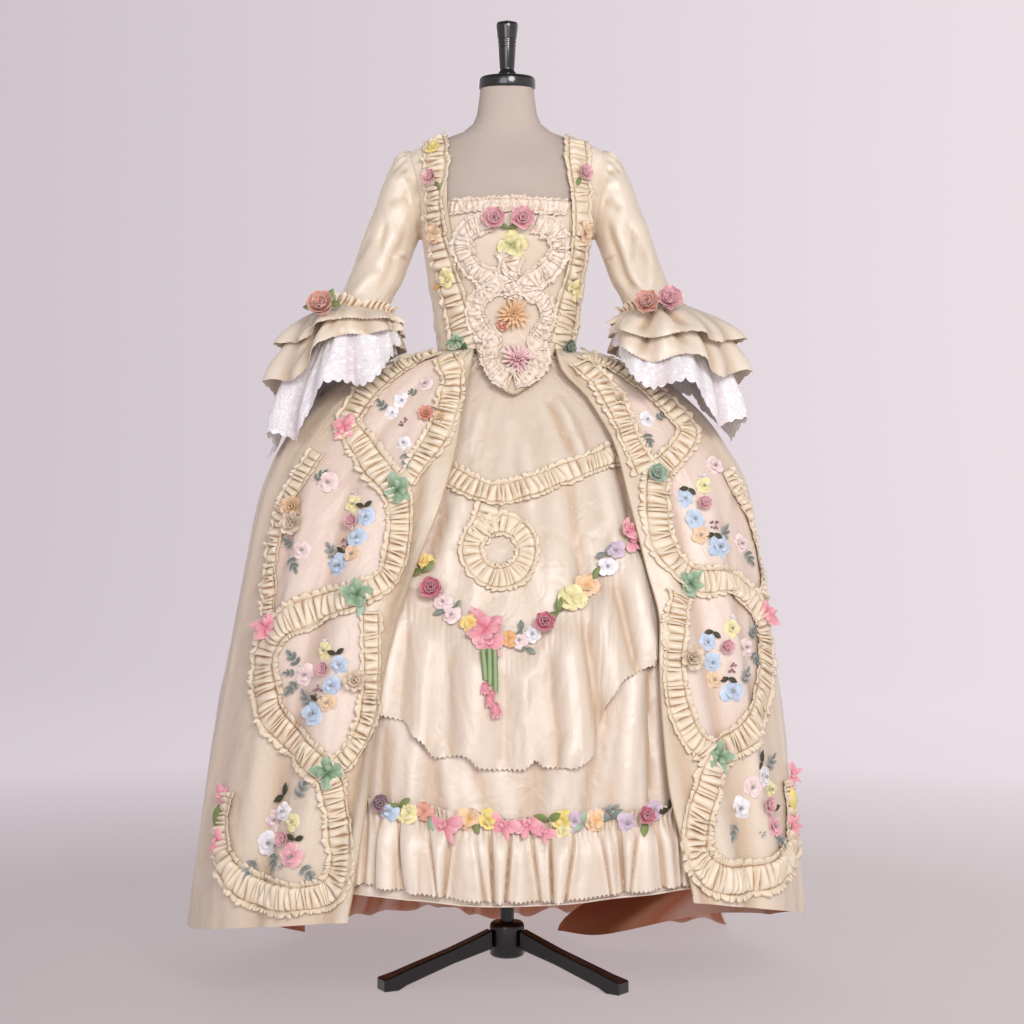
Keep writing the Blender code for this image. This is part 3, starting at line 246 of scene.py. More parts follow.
petticoatFolds = SizeTable(
    "angle relief",
    (-90, 0.0), (-72, 0.005), (-60, -0.005), (-50, 0.004), (-43, -0.004), (-36, 0.005), (-27, -0.005),
    (-20, 0.004), (-12, -0.004), (-5, 0.005), (3, -0.004), (10, 0.004), (17, -0.005), (25, 0.005),
    (32, -0.004), (40, 0.005), (49, -0.005), (60, 0.005), (73, -0.004), (90, 0.0),
)


def petticoatSizes(z):
    outer = robeSizes.sizes(np.asarray(z) + 0.01)
    form = torsoSizes.sizes(z)
    return tuple(np.maximum(a - 0.016, b + 0.0065) for a, b in zip(outer, form))


def petticoatRelief(angle, x, y, z):
    turned = np.degrees((angle + np.pi) % (2 * np.pi) - np.pi)
    folds = petticoatFolds.at("relief", turned) * smooth((1.1 - z) / 0.7)
    return folds + 1.3 * creaseRelief(x, z, petticoatCreases) * (y < 0)


def robeRelief(angle, x, y, z):
    turn = np.abs((angle + np.pi) % (2 * np.pi) - np.pi)
    front = 1.3 * creaseRelief(x, z, robeFrontCreases) * smooth((1.46 - turn) / 0.22)
    atSide = smooth((turn - 1.05) / 0.2)
    left = creaseRelief(y, z, robeSideCreases[-1]) * (x < 0)
    right = creaseRelief(y, z, robeSideCreases[1]) * (x > 0)
    return front + atSide * (left + right)


def stomacherBodySizes(z):
    left, right, _, back = bodiceSizes.sizes(z)
    return left, right, stomacherSizes.at("front", z), back


torsoBody = Body(torsoSizes.sizes)
bodiceBody = Body(bodiceSizes.sizes)
robeBody = Body(robeSizes.sizes, robeRelief)
petticoatBody = Body(petticoatSizes, petticoatRelief)
stomacherBody = Body(stomacherBodySizes)


# Finishes


class Strand:  # a shader socket that can stand in a sum
    def __init__(self, finish, socket):
        self.finish, self.socket = finish, socket

    def maths(self, operation, first, second):
        return self.finish.node("ShaderNodeMath", {"operation": operation}, {0: first, 1: second})

    def __add__(self, other):
        return self.maths("ADD", self, other)

    def __sub__(self, other):
        return self.maths("SUBTRACT", self, other)

    def __mul__(self, other):
        return self.maths("MULTIPLY", self, other)


class Finish:  # a material while it is being mixed
    def __init__(self, name, **fixed):
        self.material = bpy.data.materials.new(name)
        self.material.use_nodes = True
        self.tree = self.material.node_tree
        self.shader = self.tree.nodes["Principled BSDF"]
        for key, value in fixed.items():
            self.shader.inputs[key.replace("_", " ")].default_value = value

    def put(self, socket, value):
        if isinstance(value, Strand):
            self.tree.links.new(value.socket, socket)
        else:
            socket.default_value = value

    def node(self, kind, settings=None, inputs=None, output=0):
        made = self.tree.nodes.new(kind)
        for key, value in (settings or {}).items():
            setattr(made, key, value)
        for key, value in (inputs or {}).items():
            self.put(made.inputs[key], value)
        return Strand(self, made.outputs[output])

    def ramp(self, factor, *stops):
        made = self.tree.nodes.new("ShaderNodeValToRGB")
        while len(made.color_ramp.elements) < len(stops):
            made.color_ramp.elements.new(0.5)
        for element, (place, shade) in zip(made.color_ramp.elements, stops):
            element.position = place
            element.color = (*shade, 1) if isinstance(shade, tuple) else (shade, shade, shade, 1)
        self.put(made.inputs[0], factor)
        return Strand(self, made.outputs[0])

    def blend(self, factor, first, second, way="MIX"):
        settings = {"data_type": "RGBA", "blend_type": way}
        shades = [(*c, 1) if isinstance(c, tuple) else c for c in (first, second)]
        return self.node("ShaderNodeMix", settings, {0: factor, 6: shades[0], 7: shades[1]}, 2)

    def marked(self, name):
        return self.node("ShaderNodeAttribute", {"attribute_name": name}, None, 2)

    def cut(self, stretch=(1, 1, 1)):  # the cloth's own flat map, in metres
        flat = self.node("ShaderNodeUVMap", {"uv_map": "cut"})
        return self.node("ShaderNodeMapping", None, {"Vector": flat, "Scale": stretch})

    def room(self, stretch=(1, 1, 1)):
        place = self.node("ShaderNodeTexCoord", None, None, "Object")
        return self.node("ShaderNodeMapping", None, {"Vector": place, "Scale": stretch})

    def noise(self, where, scale, detail, roughness=0.5, bend=0.0):
        inputs = {
            "Vector": where, "Scale": scale, "Detail": detail, "Roughness": roughness, "Distortion": bend,
        }
        return self.node("ShaderNodeTexNoise", None, inputs)

    def bump(self, height, depth, strength, under=None):
        inputs = {"Height": height, "Distance": depth, "Strength": strength}
        if under:
            inputs["Normal"] = under
        return self.node("ShaderNodeBump", None, inputs)

    def wear(self, **links):
        for key, value in links.items():
            self.put(self.shader.inputs[key.replace("_", " ")], value)
        return self.material


def satinFinish(
    name, shade, deep, roughness, crumple=1.0, sheen=0.25, panel=None, tint=0.42, paintedHollowShade=(190, 154, 114),
):
    finish = Finish(name, Sheen_Weight=sheen, Sheen_Roughness=0.35, Specular_IOR_Level=0.65)
    flat = finish.cut()
    slub = finish.noise(finish.cut((18, 420, 1)), 1.0, 3.0)  # uneven weft threads
    cloud = finish.noise(flat, 5.0, 2.0)
    base = finish.blend(cloud * 0.55 + slub * 0.25, deep, shade)
    if panel:
        base = finish.blend(finish.marked("panel") * 0.75, base, panel)
    # painted shade and highlight: the silk is painted golden-brown in its hollows and paler on its crests
    fold = finish.marked("fold")
    base = finish.blend(fold * tint - 0.05, base, rgb(*paintedHollowShade))
    base = finish.blend(fold * -0.35, base, rgb(250, 240, 224))
    weave = finish.node("ShaderNodeTexWave", {"bands_direction": "X"}, {"Vector": flat, "Scale": 420.0})
    soft = finish.noise(finish.cut((13, 4.5, 1)), 1.0, 2.0, 0.45, 0.5)
    crushed = finish.noise(finish.cut((34, 22, 1)), 1.0, 2.0, 0.55, 0.9)
    waves = finish.bump(soft + crushed * 0.16, 0.02 * crumple, 0.6)
    threads = finish.bump(weave + slub * 2.0, 0.00012, 0.35, waves)
    return finish.wear(Base_Color=base, Roughness=slub * 0.14 + (roughness - 0.07), Normal=threads)


def tintedFinish(name, roughness, sheen, grain):
    finish = Finish(name, Sheen_Weight=sheen, Sheen_Roughness=0.4, Specular_IOR_Level=0.5)
    tint = finish.node("ShaderNodeVertexColor", {"layer_name": "tint"})
    cloud = finish.noise(finish.room(), grain, 2.0)
    base = finish.blend(0.35, tint, finish.ramp(cloud, (0.25, 0.72), (0.75, 1.0)), "MULTIPLY")
    ribs = finish.noise(finish.room((1, 1, 0.25)), grain * 4, 2.0)
    ribbed = finish.bump(ribs, 0.0004, 0.5)
    return finish.wear(Base_Color=base, Roughness=cloud * 0.15 + (roughness - 0.07), Normal=ribbed)


def laceFinish():
    finish = Finish("laceNet", Roughness=0.85, Sheen_Weight=0.6, Specular_IOR_Level=0.3)
    flat = finish.cut()
    bent = finish.noise(flat, 46.0, 2.0)
    spread = {"Vector": finish.cut((78, 78, 1)), "Scale": 1.0, "Randomness": 0.7}
    heads = finish.node("ShaderNodeTexVoronoi", None, spread)
    motif = finish.ramp(heads + bent * 0.45, (0.5, 1.0), (0.66, 0.0))
    mesh = {"Vector": flat, "Scale": 330.0}
    cells = finish.node("ShaderNodeTexVoronoi", {"feature": "DISTANCE_TO_EDGE"}, mesh)
    net = finish.ramp(cells, (0.08, 1.0), (0.22, 0.0))
    stems = finish.ramp(finish.noise(flat, 110.0, 2.0, 0.5, 1.2), (0.44, 0.0), (0.5, 1.0), (0.56, 0.0))
    solid = finish.node("ShaderNodeMath", {"operation": "MAXIMUM"}, {0: motif, 1: stems})
    cover = finish.node("ShaderNodeMath", {"operation": "MAXIMUM"}, {0: solid, 1: net * 0.16 + 0.84})
    fold = finish.marked("fold")
    base = finish.blend(solid * 0.7 + 0.3, rgb(245, 240, 243), rgb(255, 254, 254))
    # painted shade: the lace is painted greyer in the hollows of its folds
    base = finish.blend(fold * 0.6, base, rgb(220, 206, 206))
    return finish.wear(Base_Color=base, Alpha=cover, Normal=finish.bump(solid + net * 0.3, 0.0007, 0.8))


def linenFinish():
    finish = Finish("linenCover", Roughness=0.88, Sheen_Weight=0.12, Specular_IOR_Level=0.25)
    warp = finish.noise(finish.room((900, 900, 90)), 1.0, 2.0)
    weft = finish.noise(finish.room((90, 90, 900)), 1.0, 2.0)
    cloud = finish.noise(finish.room(), 9.0, 3.0)
    base = finish.blend(cloud * 0.6 + warp * 0.2 + weft * 0.2, rgb(172, 158, 146), rgb(206, 193, 181))
    return finish.wear(Base_Color=base, Normal=finish.bump(warp + weft, 0.0003, 0.6))


def blackFinish(name, roughness, metal):
    finish = Finish(name, Metallic=metal, Coat_Weight=0.6, Coat_Roughness=0.07)
    grain = finish.noise(finish.room(), 160.0, 3.0)
    dust = finish.noise(finish.room(), 14.0, 4.0, 0.6)
    base = finish.blend(finish.ramp(dust, (0.45, 0.0), (0.75, 1.0)), rgb(12, 11, 11), rgb(28, 26, 26))
    return finish.wear(
        Base_Color=base, Roughness=dust * 0.16 + roughness, Normal=finish.bump(grain, 0.0001, 0.25),
    )


say("finishes")
gownSatin = satinFinish("gownSatin", rgb(231, 214, 193), rgb(212, 193, 167), 0.33, panel=rgb(230, 209, 196))
# painted light: the bodice has a lighter copy of the gown's satin, standing in for the light falling on it
paintedLightBodiceSatin = satinFinish("paintedLightBodiceSatin", rgb(250, 236, 216), rgb(236, 219, 194), 0.33)
skirtSatin = satinFinish("petticoatSatin", rgb(228, 213, 196), rgb(211, 193, 171), 0.31, tint=0.5)
sleeveSatin = satinFinish("sleeveSatin", rgb(229, 215, 196), rgb(211, 193, 168), 0.32, 0.8)
# the trims and frills are painted a deeper golden-brown in the hollows of their pleats, as painted shade
trimSatin = satinFinish(
    "gatheredTrim", rgb(240, 227, 204), rgb(225, 206, 175), 0.42, 0.15, 0.15, tint=1.0,
    paintedHollowShade=(160, 114, 70),
)
frillSatin = satinFinish(
    "creamFrill", rgb(242, 230, 215), rgb(230, 213, 194), 0.5, 0.15, 0.2, tint=0.8, paintedHollowShade=(196, 164, 128),
)
# painted shade: the inside of the cloth is a darker orange-brown copy of the satin, standing in for the shade
# and the light glowing through it under the skirts
paintedShadeLining = satinFinish("paintedShadeLining", rgb(200, 116, 72), rgb(170, 88, 52), 0.55, 0.6, 0.1)
pipingSilk = satinFinish("pipingSilk", rgb(212, 192, 156), rgb(180, 156, 116), 0.45, 0.05, 0.1)
ribbonSilk = tintedFinish("ribbonSilk", 0.52, 0.3, 60.0)
lace, linen = laceFinish(), linenFinish()
blackGloss, blackSteel = blackFinish("blackGloss", 0.14, 0.0), blackFinish("blackSteel", 0.26, 0.2)


# Making pieces


def showOnly(piece):
    for other in bpy.context.selected_objects:
        other.select_set(False)
    bpy.context.view_layer.objects.active = piece
    piece.select_set(True)


def addObject(name, data):
    made = bpy.data.objects.new(name, data)
    bpy.context.scene.collection.objects.link(made)
    return made


def newPiece(name, points, faces, finishes):
    mesh = bpy.data.meshes.new(name)
    moved = np.asarray(points, float).reshape(-1, 3) + poleShift
    mesh.from_pydata(moved.tolist(), [], faces.tolist() if isinstance(faces, np.ndarray) else faces)
    for finish in finishes:
        mesh.materials.append(finish)
    return addObject(name, mesh)


def wear(piece, slotName, *nodes):
    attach(piece, "root")
    if nodes:
        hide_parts(*nodes)
    return piece


def gridFaces(rows, columns, closed=False):
    i, j = np.meshgrid(np.arange(rows - 1), np.arange(columns if closed else columns - 1), indexing="ij")
    k = (j + 1) % columns
    quads = np.stack([i * columns + j, (i + 1) * columns + j, (i + 1) * columns + k, i * columns + k], -1)
    return quads.reshape(-1, 4)


def quadCorners(across, down):
    # flat places of the corners, in the order of gridFaces
    i, j = np.meshgrid(np.arange(len(down) - 1), np.arange(len(across) - 1), indexing="ij")
    order = ((0, 0), (1, 0), (1, 1), (0, 1))
    return np.stack([np.stack([across[j + b], down[i + a]], -1) for a, b in order], 2).reshape(-1)


def flatMap(piece, corners):  # the cloth's flat map in metres
    piece.data.uv_layers.new(name="cut").data.foreach_set("uv", corners)


def softened(grid, axis, reach, closed):
    gap = np.linalg.norm(np.diff(grid, axis=axis), axis=-1).mean()
    n = min(int(round(reach / gap)), grid.shape[axis] // 2 - 1)
    if n < 1:
        return grid
    edges = [(0, 0)] * 3
    edges[axis] = (n, n)
    around = {"mode": "wrap"} if closed and axis == 1 else {"mode": "reflect", "reflect_type": "odd"}
    total = np.cumsum(np.insert(np.pad(grid, edges, **around), 0, 0, axis=axis), axis=axis)
    high, low = [slice(None)] * 3, [slice(None)] * 3
    high[axis], low[axis] = slice(2 * n + 1, None), slice(None, -2 * n - 1)
    return (total[tuple(high)] - total[tuple(low)]) / (2 * n + 1)


def hollows(grid, scales=((0.01, 0.0024), (0.028, 0.006)), closed=False):
    # how far each point lies below the cloth around it, by (reach, full depth)
    total = 0.0
    for reach, depth in scales:
        soft = softened(softened(grid, 0, reach, closed), 1, reach, closed)
        normal = unit(np.cross(np.gradient(soft, axis=0), np.gradient(soft, axis=1)))
        total = total + ((soft - grid) * normal).sum(-1) / depth
    return np.clip(total, -1, 1)


def mark(piece, name, values):
    layer = piece.data.attributes.new(name, "FLOAT", "POINT")
    layer.data.foreach_set("value", np.asarray(values, float).reshape(-1))


def thicken(piece, wall, lining=0):  # the lining is the number of its finish
    thick = piece.modifiers.new("wall", "SOLIDIFY")
    thick.thickness, thick.offset, thick.material_offset = wall, -1, lining
    showOnly(piece)
    bpy.ops.object.modifier_apply(modifier="wall")


# by default the inner side of a sheet takes the painted-shade lining
def clothSheet(
    name, points, finish, slotName="satin", closed=False, lining=paintedShadeLining,
    wall=0.001,
):
    # rows run down and columns to the right, seen from outside
    piece = newPiece(f"{name}_cloth", points, gridFaces(*points.shape[:2], closed), [finish, lining])
    columns = points.transpose(1, 0, 2)
    across = distances(np.vstack([columns, columns[:1]]) if closed else columns)
    flatMap(piece, quadCorners(across, -distances(points)))
    # how deep each point lies in its folds, which the finishes turn into painted shade and highlight
    mark(piece, "fold", hollows(points, closed=closed))
    thicken(piece, wall, 1)
    bpy.ops.object.shade_smooth_by_angle(angle=math.radians(50))
    wear(piece, slotName, name)
    return piece


def pinked(points, pitch, depth, scalloped=False):
    # cuts a zigzag or round scallops into the last row
    run = distances(points[-1])
    tooth = np.abs(np.sin(np.pi * run / pitch)) ** 0.6 if scalloped else np.abs((run / pitch) % 1 - 0.5) * 2
    moved = points.copy()
    moved[-1] += unit(points[-1] - points[-2]) * ((tooth - 0.5) * depth)[:, None]
    return moved


def cordPiece(name, path, radius, finish):
    # a sewn cord along the points given
    spokes = 6
    tangent = unit(np.gradient(path, axis=0))
    first = unit(np.cross(tangent, np.array([0.03, -1.0, 0.05])))
    second = np.cross(tangent, first)
    turn = (np.arange(spokes) * 2 * np.pi / spokes)[None, :, None]
    rings = path[:, None] + radius * (np.cos(turn) * first[:, None] + np.sin(turn) * second[:, None])
    last = (len(path) - 1) * spokes
    faces = gridFaces(len(path), spokes, True).tolist()
    faces += [list(range(spokes))[::-1], list(range(last, last + spokes))]
    piece = newPiece(name, rings, faces, [finish])
    run = distances(path)
    layer = piece.data.uv_layers.new(name="cut")
    for loop in piece.data.loops:
        i = loop.vertex_index
        layer.data[loop.index].uv = ((i % spokes) * radius, run[i // spokes])
    faceOut(piece)
    piece.data.shade_smooth()
    wear(piece, "satin")


def faceOut(piece):
    mesh = bmesh.new()
    mesh.from_mesh(piece.data)
    bmesh.ops.recalc_face_normals(mesh, faces=mesh.faces)
    mesh.to_mesh(piece.data)
    mesh.free()


def along(points, count):
    # even steps on a smooth curve through the points
    points = np.array(points, float)
    padded = np.vstack([2 * points[0] - points[1], points, 2 * points[-1] - points[-2]])
    t = np.linspace(0, 1, 13)[:, None]
    dense = []
    for a, b, c, d in zip(padded, padded[1:], padded[2:], padded[3:]):
        bend = (2 * a - 5 * b + 4 * c - d) * t**2 + (3 * b - a - 3 * c + d) * t**3
        dense.append(0.5 * (2 * b + (c - a) * t + bend))
    dense = np.vstack(dense)
    run = distances(dense)
    return readAt(np.linspace(0, run[-1], count), run, dense)


# The dress form and its stand


formSizes = {
    "sides": 84, "neckTop": 1.6, "rings": 46, "seamDepth": 0.0009,
    "cap": (
        (1.6003, 0.0495), (1.6016, 0.0508), (1.604, 0.0514), (1.616, 0.0514), (1.619, 0.0505),
        (1.6213, 0.0478),
    ),
    "knob": (
        (0, 0.0148), (0.001, 0.0168), (0.006, 0.0172), (0.009, 0.016), (0.012, 0.0134), (0.016, 0.0131),
        (0.018, 0.0136), (0.052, 0.0157), (0.0525, 0.0149), (0.0545, 0.0149), (0.055, 0.0161),
        (0.059, 0.0163), (0.0595, 0.0154), (0.0615, 0.0154), (0.062, 0.0166), (0.066, 0.0168),
        (0.0665, 0.016), (0.0685, 0.016), (0.069, 0.0171), (0.09, 0.0196), (0.0955, 0.0199),
        (0.0985, 0.0186), (0.1005, 0.012), (0.1025, 0.006),
    ),
    "knobFoot": 1.6216,
    "hub": (
        (0.04, 0.0235), (0.043, 0.029), (0.046, 0.031), (0.096, 0.031), (0.101, 0.0295), (0.104, 0.0255),
    ),
    "pole": ((0.1043, 0.0125), (0.3, 0.0125), (0.6, 0.0125), (0.8797, 0.0125)),
}


def turnedPiece(name, profile, finish, node, steps, squeeze=1.0):
    # the profile is drawn as an edge chain and spun round the pole
    bpy.ops.mesh.primitive_plane_add(size=0.01, location=(0, 0, 0))
    piece = bpy.context.object
    piece.name = name
    mesh = bmesh.new()
    corners = [mesh.verts.new((r, 0, z)) for z, r in profile]
    corners = [mesh.verts.new((0, 0, profile[0][0]))] + corners + [mesh.verts.new((0, 0, profile[-1][0]))]
    for a, b in zip(corners, corners[1:]):
        mesh.edges.new((a, b))
    mesh.to_mesh(piece.data)
    mesh.free()
    showOnly(piece)
    bpy.ops.object.mode_set(mode="EDIT")
    bpy.ops.mesh.select_all(action="SELECT")
    bpy.ops.mesh.spin(steps=steps, angle=2 * math.pi, center=(0, 0, 0), axis=(0, 0, 1))
    bpy.ops.mesh.select_all(action="SELECT")
    bpy.ops.mesh.remove_doubles(threshold=0.00002)
    bpy.ops.mesh.normals_make_consistent(inside=False)
    bpy.ops.transform.resize(value=(1, squeeze, 1), center_override=(0, 0, 0))
    bpy.ops.transform.translate(value=tuple(poleShift))
    bpy.ops.object.mode_set(mode="OBJECT")
    piece.data.materials.append(finish)
    bpy.ops.object.shade_smooth_by_angle(angle=math.radians(40))
    wear(piece, "black", node)


def formTorso():
    # a drum cut into rings, then drawn in to the sections of a dress form
    low, high = torsoSizes.key[0], formSizes["neckTop"]
    middle = (0, 0, (low + high) / 2)
    bpy.ops.mesh.primitive_cylinder_add(
        vertices=formSizes["sides"], radius=0.15, depth=high - low, location=middle,
    )
    piece = bpy.context.object
    piece.name = "dressForm"
    bpy.ops.object.mode_set(mode="EDIT")
    for i in range(1, formSizes["rings"]):
        bpy.ops.mesh.select_all(action="SELECT")
        height = mix(low, high, i / formSizes["rings"])
        bpy.ops.mesh.bisect(plane_co=(0, 0, height), plane_no=(0, 0, 1))
    bpy.ops.object.mode_set(mode="OBJECT")
    bpy.ops.object.transform_apply(location=True, rotation=True, scale=True)
    points = np.array([v.co[:] for v in piece.data.vertices])
    turn = np.arctan2(points[:, 0], -points[:, 1])
    shaped = torsoBody.point(turn, points[:, 2])
    degrees = np.degrees(turn)
    seams = sum(np.exp(-(((degrees - at) / 1.8) ** 2)) for at in (-180, -90, 0, 90, 180))
    shaped[:, :2] *= (1 - formSizes["seamDepth"] / 0.1 * seams)[:, None]
    piece.data.vertices.foreach_set("co", (shaped + poleShift).reshape(-1))
    piece.data.materials.append(linen)
    showOnly(piece)
    bpy.ops.object.shade_smooth_by_angle(angle=math.radians(45))
    wear(piece, "linen", "form_torso")


formTorso()
turnedPiece("neckCap", formSizes["cap"], blackGloss, "form_neck_cap", 64, 0.93)
knobProfile = [(formSizes["knobFoot"] + z, r) for z, r in formSizes["knob"]]
turnedPiece("neckKnob", knobProfile, blackGloss, "form_knob", 40)
turnedPiece("standHub", formSizes["hub"], blackSteel, "stand_hub", 40)
turnedPiece("standPole", formSizes["pole"], blackSteel, "stand_pole", 28)
for i in range(3):
    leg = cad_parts[f"stand_leg_{i + 1}"]
    leg.data.materials.clear()
    leg.data.materials.append(blackSteel)
say("form and stand")


# The bodice

bodiceRows = (1.128, 1.335, 1.345, 1.365, 1.4, 1.44, 1.47, 1.487, 1.5, 1.5135)
armhole = SizeTable(
    "z angle", (1.335, 89.9), (1.345, 82.0), (1.365, 75.0), (1.42, 71.0), (1.455, 71.5), (1.475, 76.0),
    (1.487, 89.9), (1.515, 89.9),
)


def bodicePieces():
    spans = [np.linspace(a, b, 26 if b - a > 0.1 else 6)[:-1] for a, b in zip(bodiceRows, bodiceRows[1:])]
    z = np.concatenate(spans + [bodiceRows[-1:]])[::-1, None]
    u = np.linspace(0, 1, 36)[None, :]
    for side, word in sides.items():
        edge = bodiceBody.frontAngle(stomacherSizes.at(word, z) + side * 0.0018, z)
        outer = side * (np.radians(armhole.at("angle", z)) - 0.001)
        angle = mix(edge, outer, u)
        pull = 0.0016 * np.sin(z * 95 + u * 3) * smooth((1.33 - z) / 0.08) * smooth((z - 1.13) / 0.04) * u
        drag = 0.0014 * np.sin(z * 150 - u * 5) * smooth(1 - np.abs(z - 1.17) / 0.05) * u
        front = bodiceBody.lifted(angle, z, pull + drag)
        inner = np.where(z > 1.49, side * 0.092, side * 0.08)
        angle = mix(side * np.pi - outer, side * np.pi - bodiceBody.frontAngle(inner, z), u)
        for part, points in (("front", front), ("back", bodiceBody.point(angle, z))):
            clothSheet(
                f"bodice_{part}_{word}", outward(points, side), paintedLightBodiceSatin,
            )


bodicePieces()


def stomacherPiece():
    z = np.linspace(stomacherSizes.key[-1], stomacherSizes.key[0], 60)[:, None]
    u = np.linspace(0, 1, 44)[None, :]
    x = mix(stomacherSizes.at("left", z), stomacherSizes.at("right", z), u)
    points = stomacherBody.point(stomacherBody.frontAngle(x, z), z + 0 * u)
    clothSheet("stomacher", points, gownSatin)
    z = np.linspace(1.38, 1.0475, 90)
    left = np.stack([stomacherSizes.at("left", z) - 0.0004, z], -1)
    right = np.stack([stomacherSizes.at("right", z) + 0.0004, z], -1)[::-1]
    bottom = np.array([(0.0075, 1.0462), (0.0145, 1.0462)])
    line = along(np.vstack([left[::3], bottom, right[::3]]), 260)
    angle = stomacherBody.frontAngle(line[:, 0], line[:, 1])
    cordPiece("stomacher_piping", stomacherBody.lifted(angle, line[:, 1], 0.0008), 0.0013, pipingSilk)


stomacherPiece()
say("bodice")


# Gathered trims: a strip drawn up on two threads, with a frilled heading along each edge

gather = {
    "pleat": 0.01, "rise": 0.0092, "lean": 0.3, "lift": 0.001, "wall": 0.0004,
    "thread": 0.335, "frill": 0.0042, "scallop": 0.003, "ease": 0.009,
    "phases": (0.0, 0.12, 0.3, 0.52, 0.74, 0.9),
    "across": (
        -0.5, -0.46, -0.42, -0.38, -0.335, -0.27, -0.15, 0.0, 0.15, 0.27, 0.335, 0.38, 0.42, 0.46, 0.5,
    ),
}


def wander(step, pitch, columns=2):
    # soft random waves along a strip, a column each
    rows = int(step[-1] / pitch) + 3
    knots = np.array([[random.uniform(-1, 1) for _ in range(columns)] for _ in range(rows)])
    index = (step / pitch).astype(int)
    share = smooth(step / pitch - index)[:, None]
    return mix(knots[index], knots[index + 1], share)


def gatheredStrip(body, path, width, rise=gather["rise"], pleat=gather["pleat"], fuss=1.0, crush=0.0):
    flat = along(path, 1500)
    dense = body.point(body.frontAngle(flat[:, 0], flat[:, 1]), flat[:, 1])
    run = distances(dense)
    pleats = max(4, int(round(run[-1] / pleat)))
    draws = np.array([[random.random() for _ in range(6)] for _ in range(pleats)])
    ends = np.concatenate([[0], np.cumsum(0.45 + 1.2 * draws[:, 0] ** 1.7)])
    per = len(gather["phases"])
    index = np.append(np.repeat(np.arange(pleats), per), pleats - 1)
    phase = np.append(np.tile(gather["phases"], pleats), 1.0)
    step = index + phase
    want = np.interp(step, np.arange(pleats + 1), ends / ends[-1]) * run[-1]
    centre = readAt(want, run, dense)
    # the direction of the strip, smoothed over its neighbours
    before, after = (np.clip(want + ease, 0, run[-1]) for ease in (-gather["ease"], gather["ease"]))
    tangent = unit(readAt(after, run, dense) - readAt(before, run, dense))
    across = unit(np.cross(body.normal(*body.place(centre)), tangent))
    draw = draws[index]
    w = np.array(gather["across"])[None, :]
    size, right = np.abs(w), w > 0
    # narrow folds stand between two threads; each leans and tapers its own way
    thread = gather["thread"] + 0.02 * wander(step, 3.0, 1)
    middle = smooth((thread - size) / 0.07)
    heading = smooth((size - thread) / 0.07)
    bell = (1 - np.abs(2 * phase - 1) ** 2.0)[:, None]
    taper = np.clip(1 + 1.6 * fuss * (draw[:, 1:2] - 0.5) * w / 0.35, 0.35, 1.3)
    tall = rise * (0.5 + 0.7 * draw[:, 2:3]) * taper
    edge = wander(step, 0.62)
    wave = np.where(right, edge[:, 1:], edge[:, :1])
    slow = wander(step, 2.3)
    drift = np.where(right, slow[:, 1:], slow[:, :1])
    frilled = 0.0012 + gather["frill"] * (0.5 + 0.5 * wave) + 0.45 * bell * tall
    height = gather["lift"] + bell * tall * middle + heading * frilled
    height = height + crush * np.abs(wander(step, 0.9, w.shape[1])) * (0.4 + 0.6 * middle)
    widths = np.atleast_1d(width)
    wide = np.interp(want / run[-1], np.linspace(0, 1, len(widths)), widths)[:, None]
    reach = w * (wide + 0.0035 * fuss * wander(step, 4.0, 1))
    reach = reach + np.sign(w) * heading * (0.0016 * wave + 0.0016 * drift + gather["scallop"] * (bell - 0.5))
    skew = (draw[:, 3:4] - 0.5) * fuss
    lean = gather["lean"] * (0.4 + draw[:, 4:5]) * bell * middle
    slip = pleat * (lean + 0.8 * skew * (w / 0.35) * bell + 0.24 * heading * drift)
    flatPoints = centre[:, None] + across[:, None] * reach[..., None] + tangent[:, None] * slip[..., None]
    return body.lifted(*body.place(flatPoints), height)


def trimPiece(name, strips, finish=trimSatin):
    # one or more strips in one piece
    points, faces, maps, folds, start, length, wide = [], [], [], [], 0, 0.0, 0.0
    for grid in strips:
        rows, columns = grid.shape[:2]
        points.append(grid.reshape(-1, 3))
        faces.append(gridFaces(rows, columns) + start)
        folds.append(hollows(grid, ((0.0045, 0.0022),)).reshape(-1))
        across, run = distances(grid.transpose(1, 0, 2)), distances(grid)
        maps.append(quadCorners(across, run + length))
        start, length, wide = start + rows * columns, length + run[-1], max(wide, across[-1])
    piece = newPiece(f"{name}_gathered", np.vstack(points), np.vstack(faces), [finish])
    flatMap(piece, np.concatenate(maps))
    # how deep each point lies in its pleats, which the trim's finish turns into painted shade and highlight
    mark(piece, "fold", np.concatenate(folds))
    thicken(piece, gather["wall"])
    piece.data.shade_smooth()
    wear(piece, "trim", name)


neckFrillPath = [(-0.096, 1.374), (0.005, 1.377), (0.105, 1.374)]
frill = gatheredStrip(
    stomacherBody, neckFrillPath, 0.028, rise=0.0044, pleat=0.0066, fuss=2.0, crush=0.0066,
)
trimPiece("neckline_frill", [frill], frillSatin)
scrolls = {
    "left": [
        (-0.03, 1.346), (-0.064, 1.334), (-0.077, 1.305), (-0.062, 1.27), (-0.03, 1.246), (-0.024, 1.232),
        (-0.048, 1.214), (-0.056, 1.186), (-0.042, 1.158), (-0.024, 1.142), (-0.032, 1.112),
        (-0.018, 1.082), (0.006, 1.068),
    ],
    "right": [
        (0.05, 1.346), (0.08, 1.332), (0.09, 1.303), (0.074, 1.27), (0.045, 1.246), (0.038, 1.232),
        (0.062, 1.212), (0.072, 1.186), (0.06, 1.158), (0.048, 1.14), (0.058, 1.112), (0.044, 1.084),
        (0.012, 1.07),
    ],
}
scrollMiddle = [(-0.004, 1.3), (0.01, 1.276), (-0.002, 1.252), (0.012, 1.23), (0.006, 1.214)]
scrollLook = {"width": 0.037, "rise": 0.004, "pleat": 0.0064, "fuss": 2.6, "crush": 0.0084}
for word, path in scrolls.items():
    paths = [path, scrollMiddle] if word == "left" else [path]
    strips = [gatheredStrip(stomacherBody, one, **scrollLook) for one in paths]
    trimPiece(f"stomacher_scroll_{word}", strips, frillSatin)

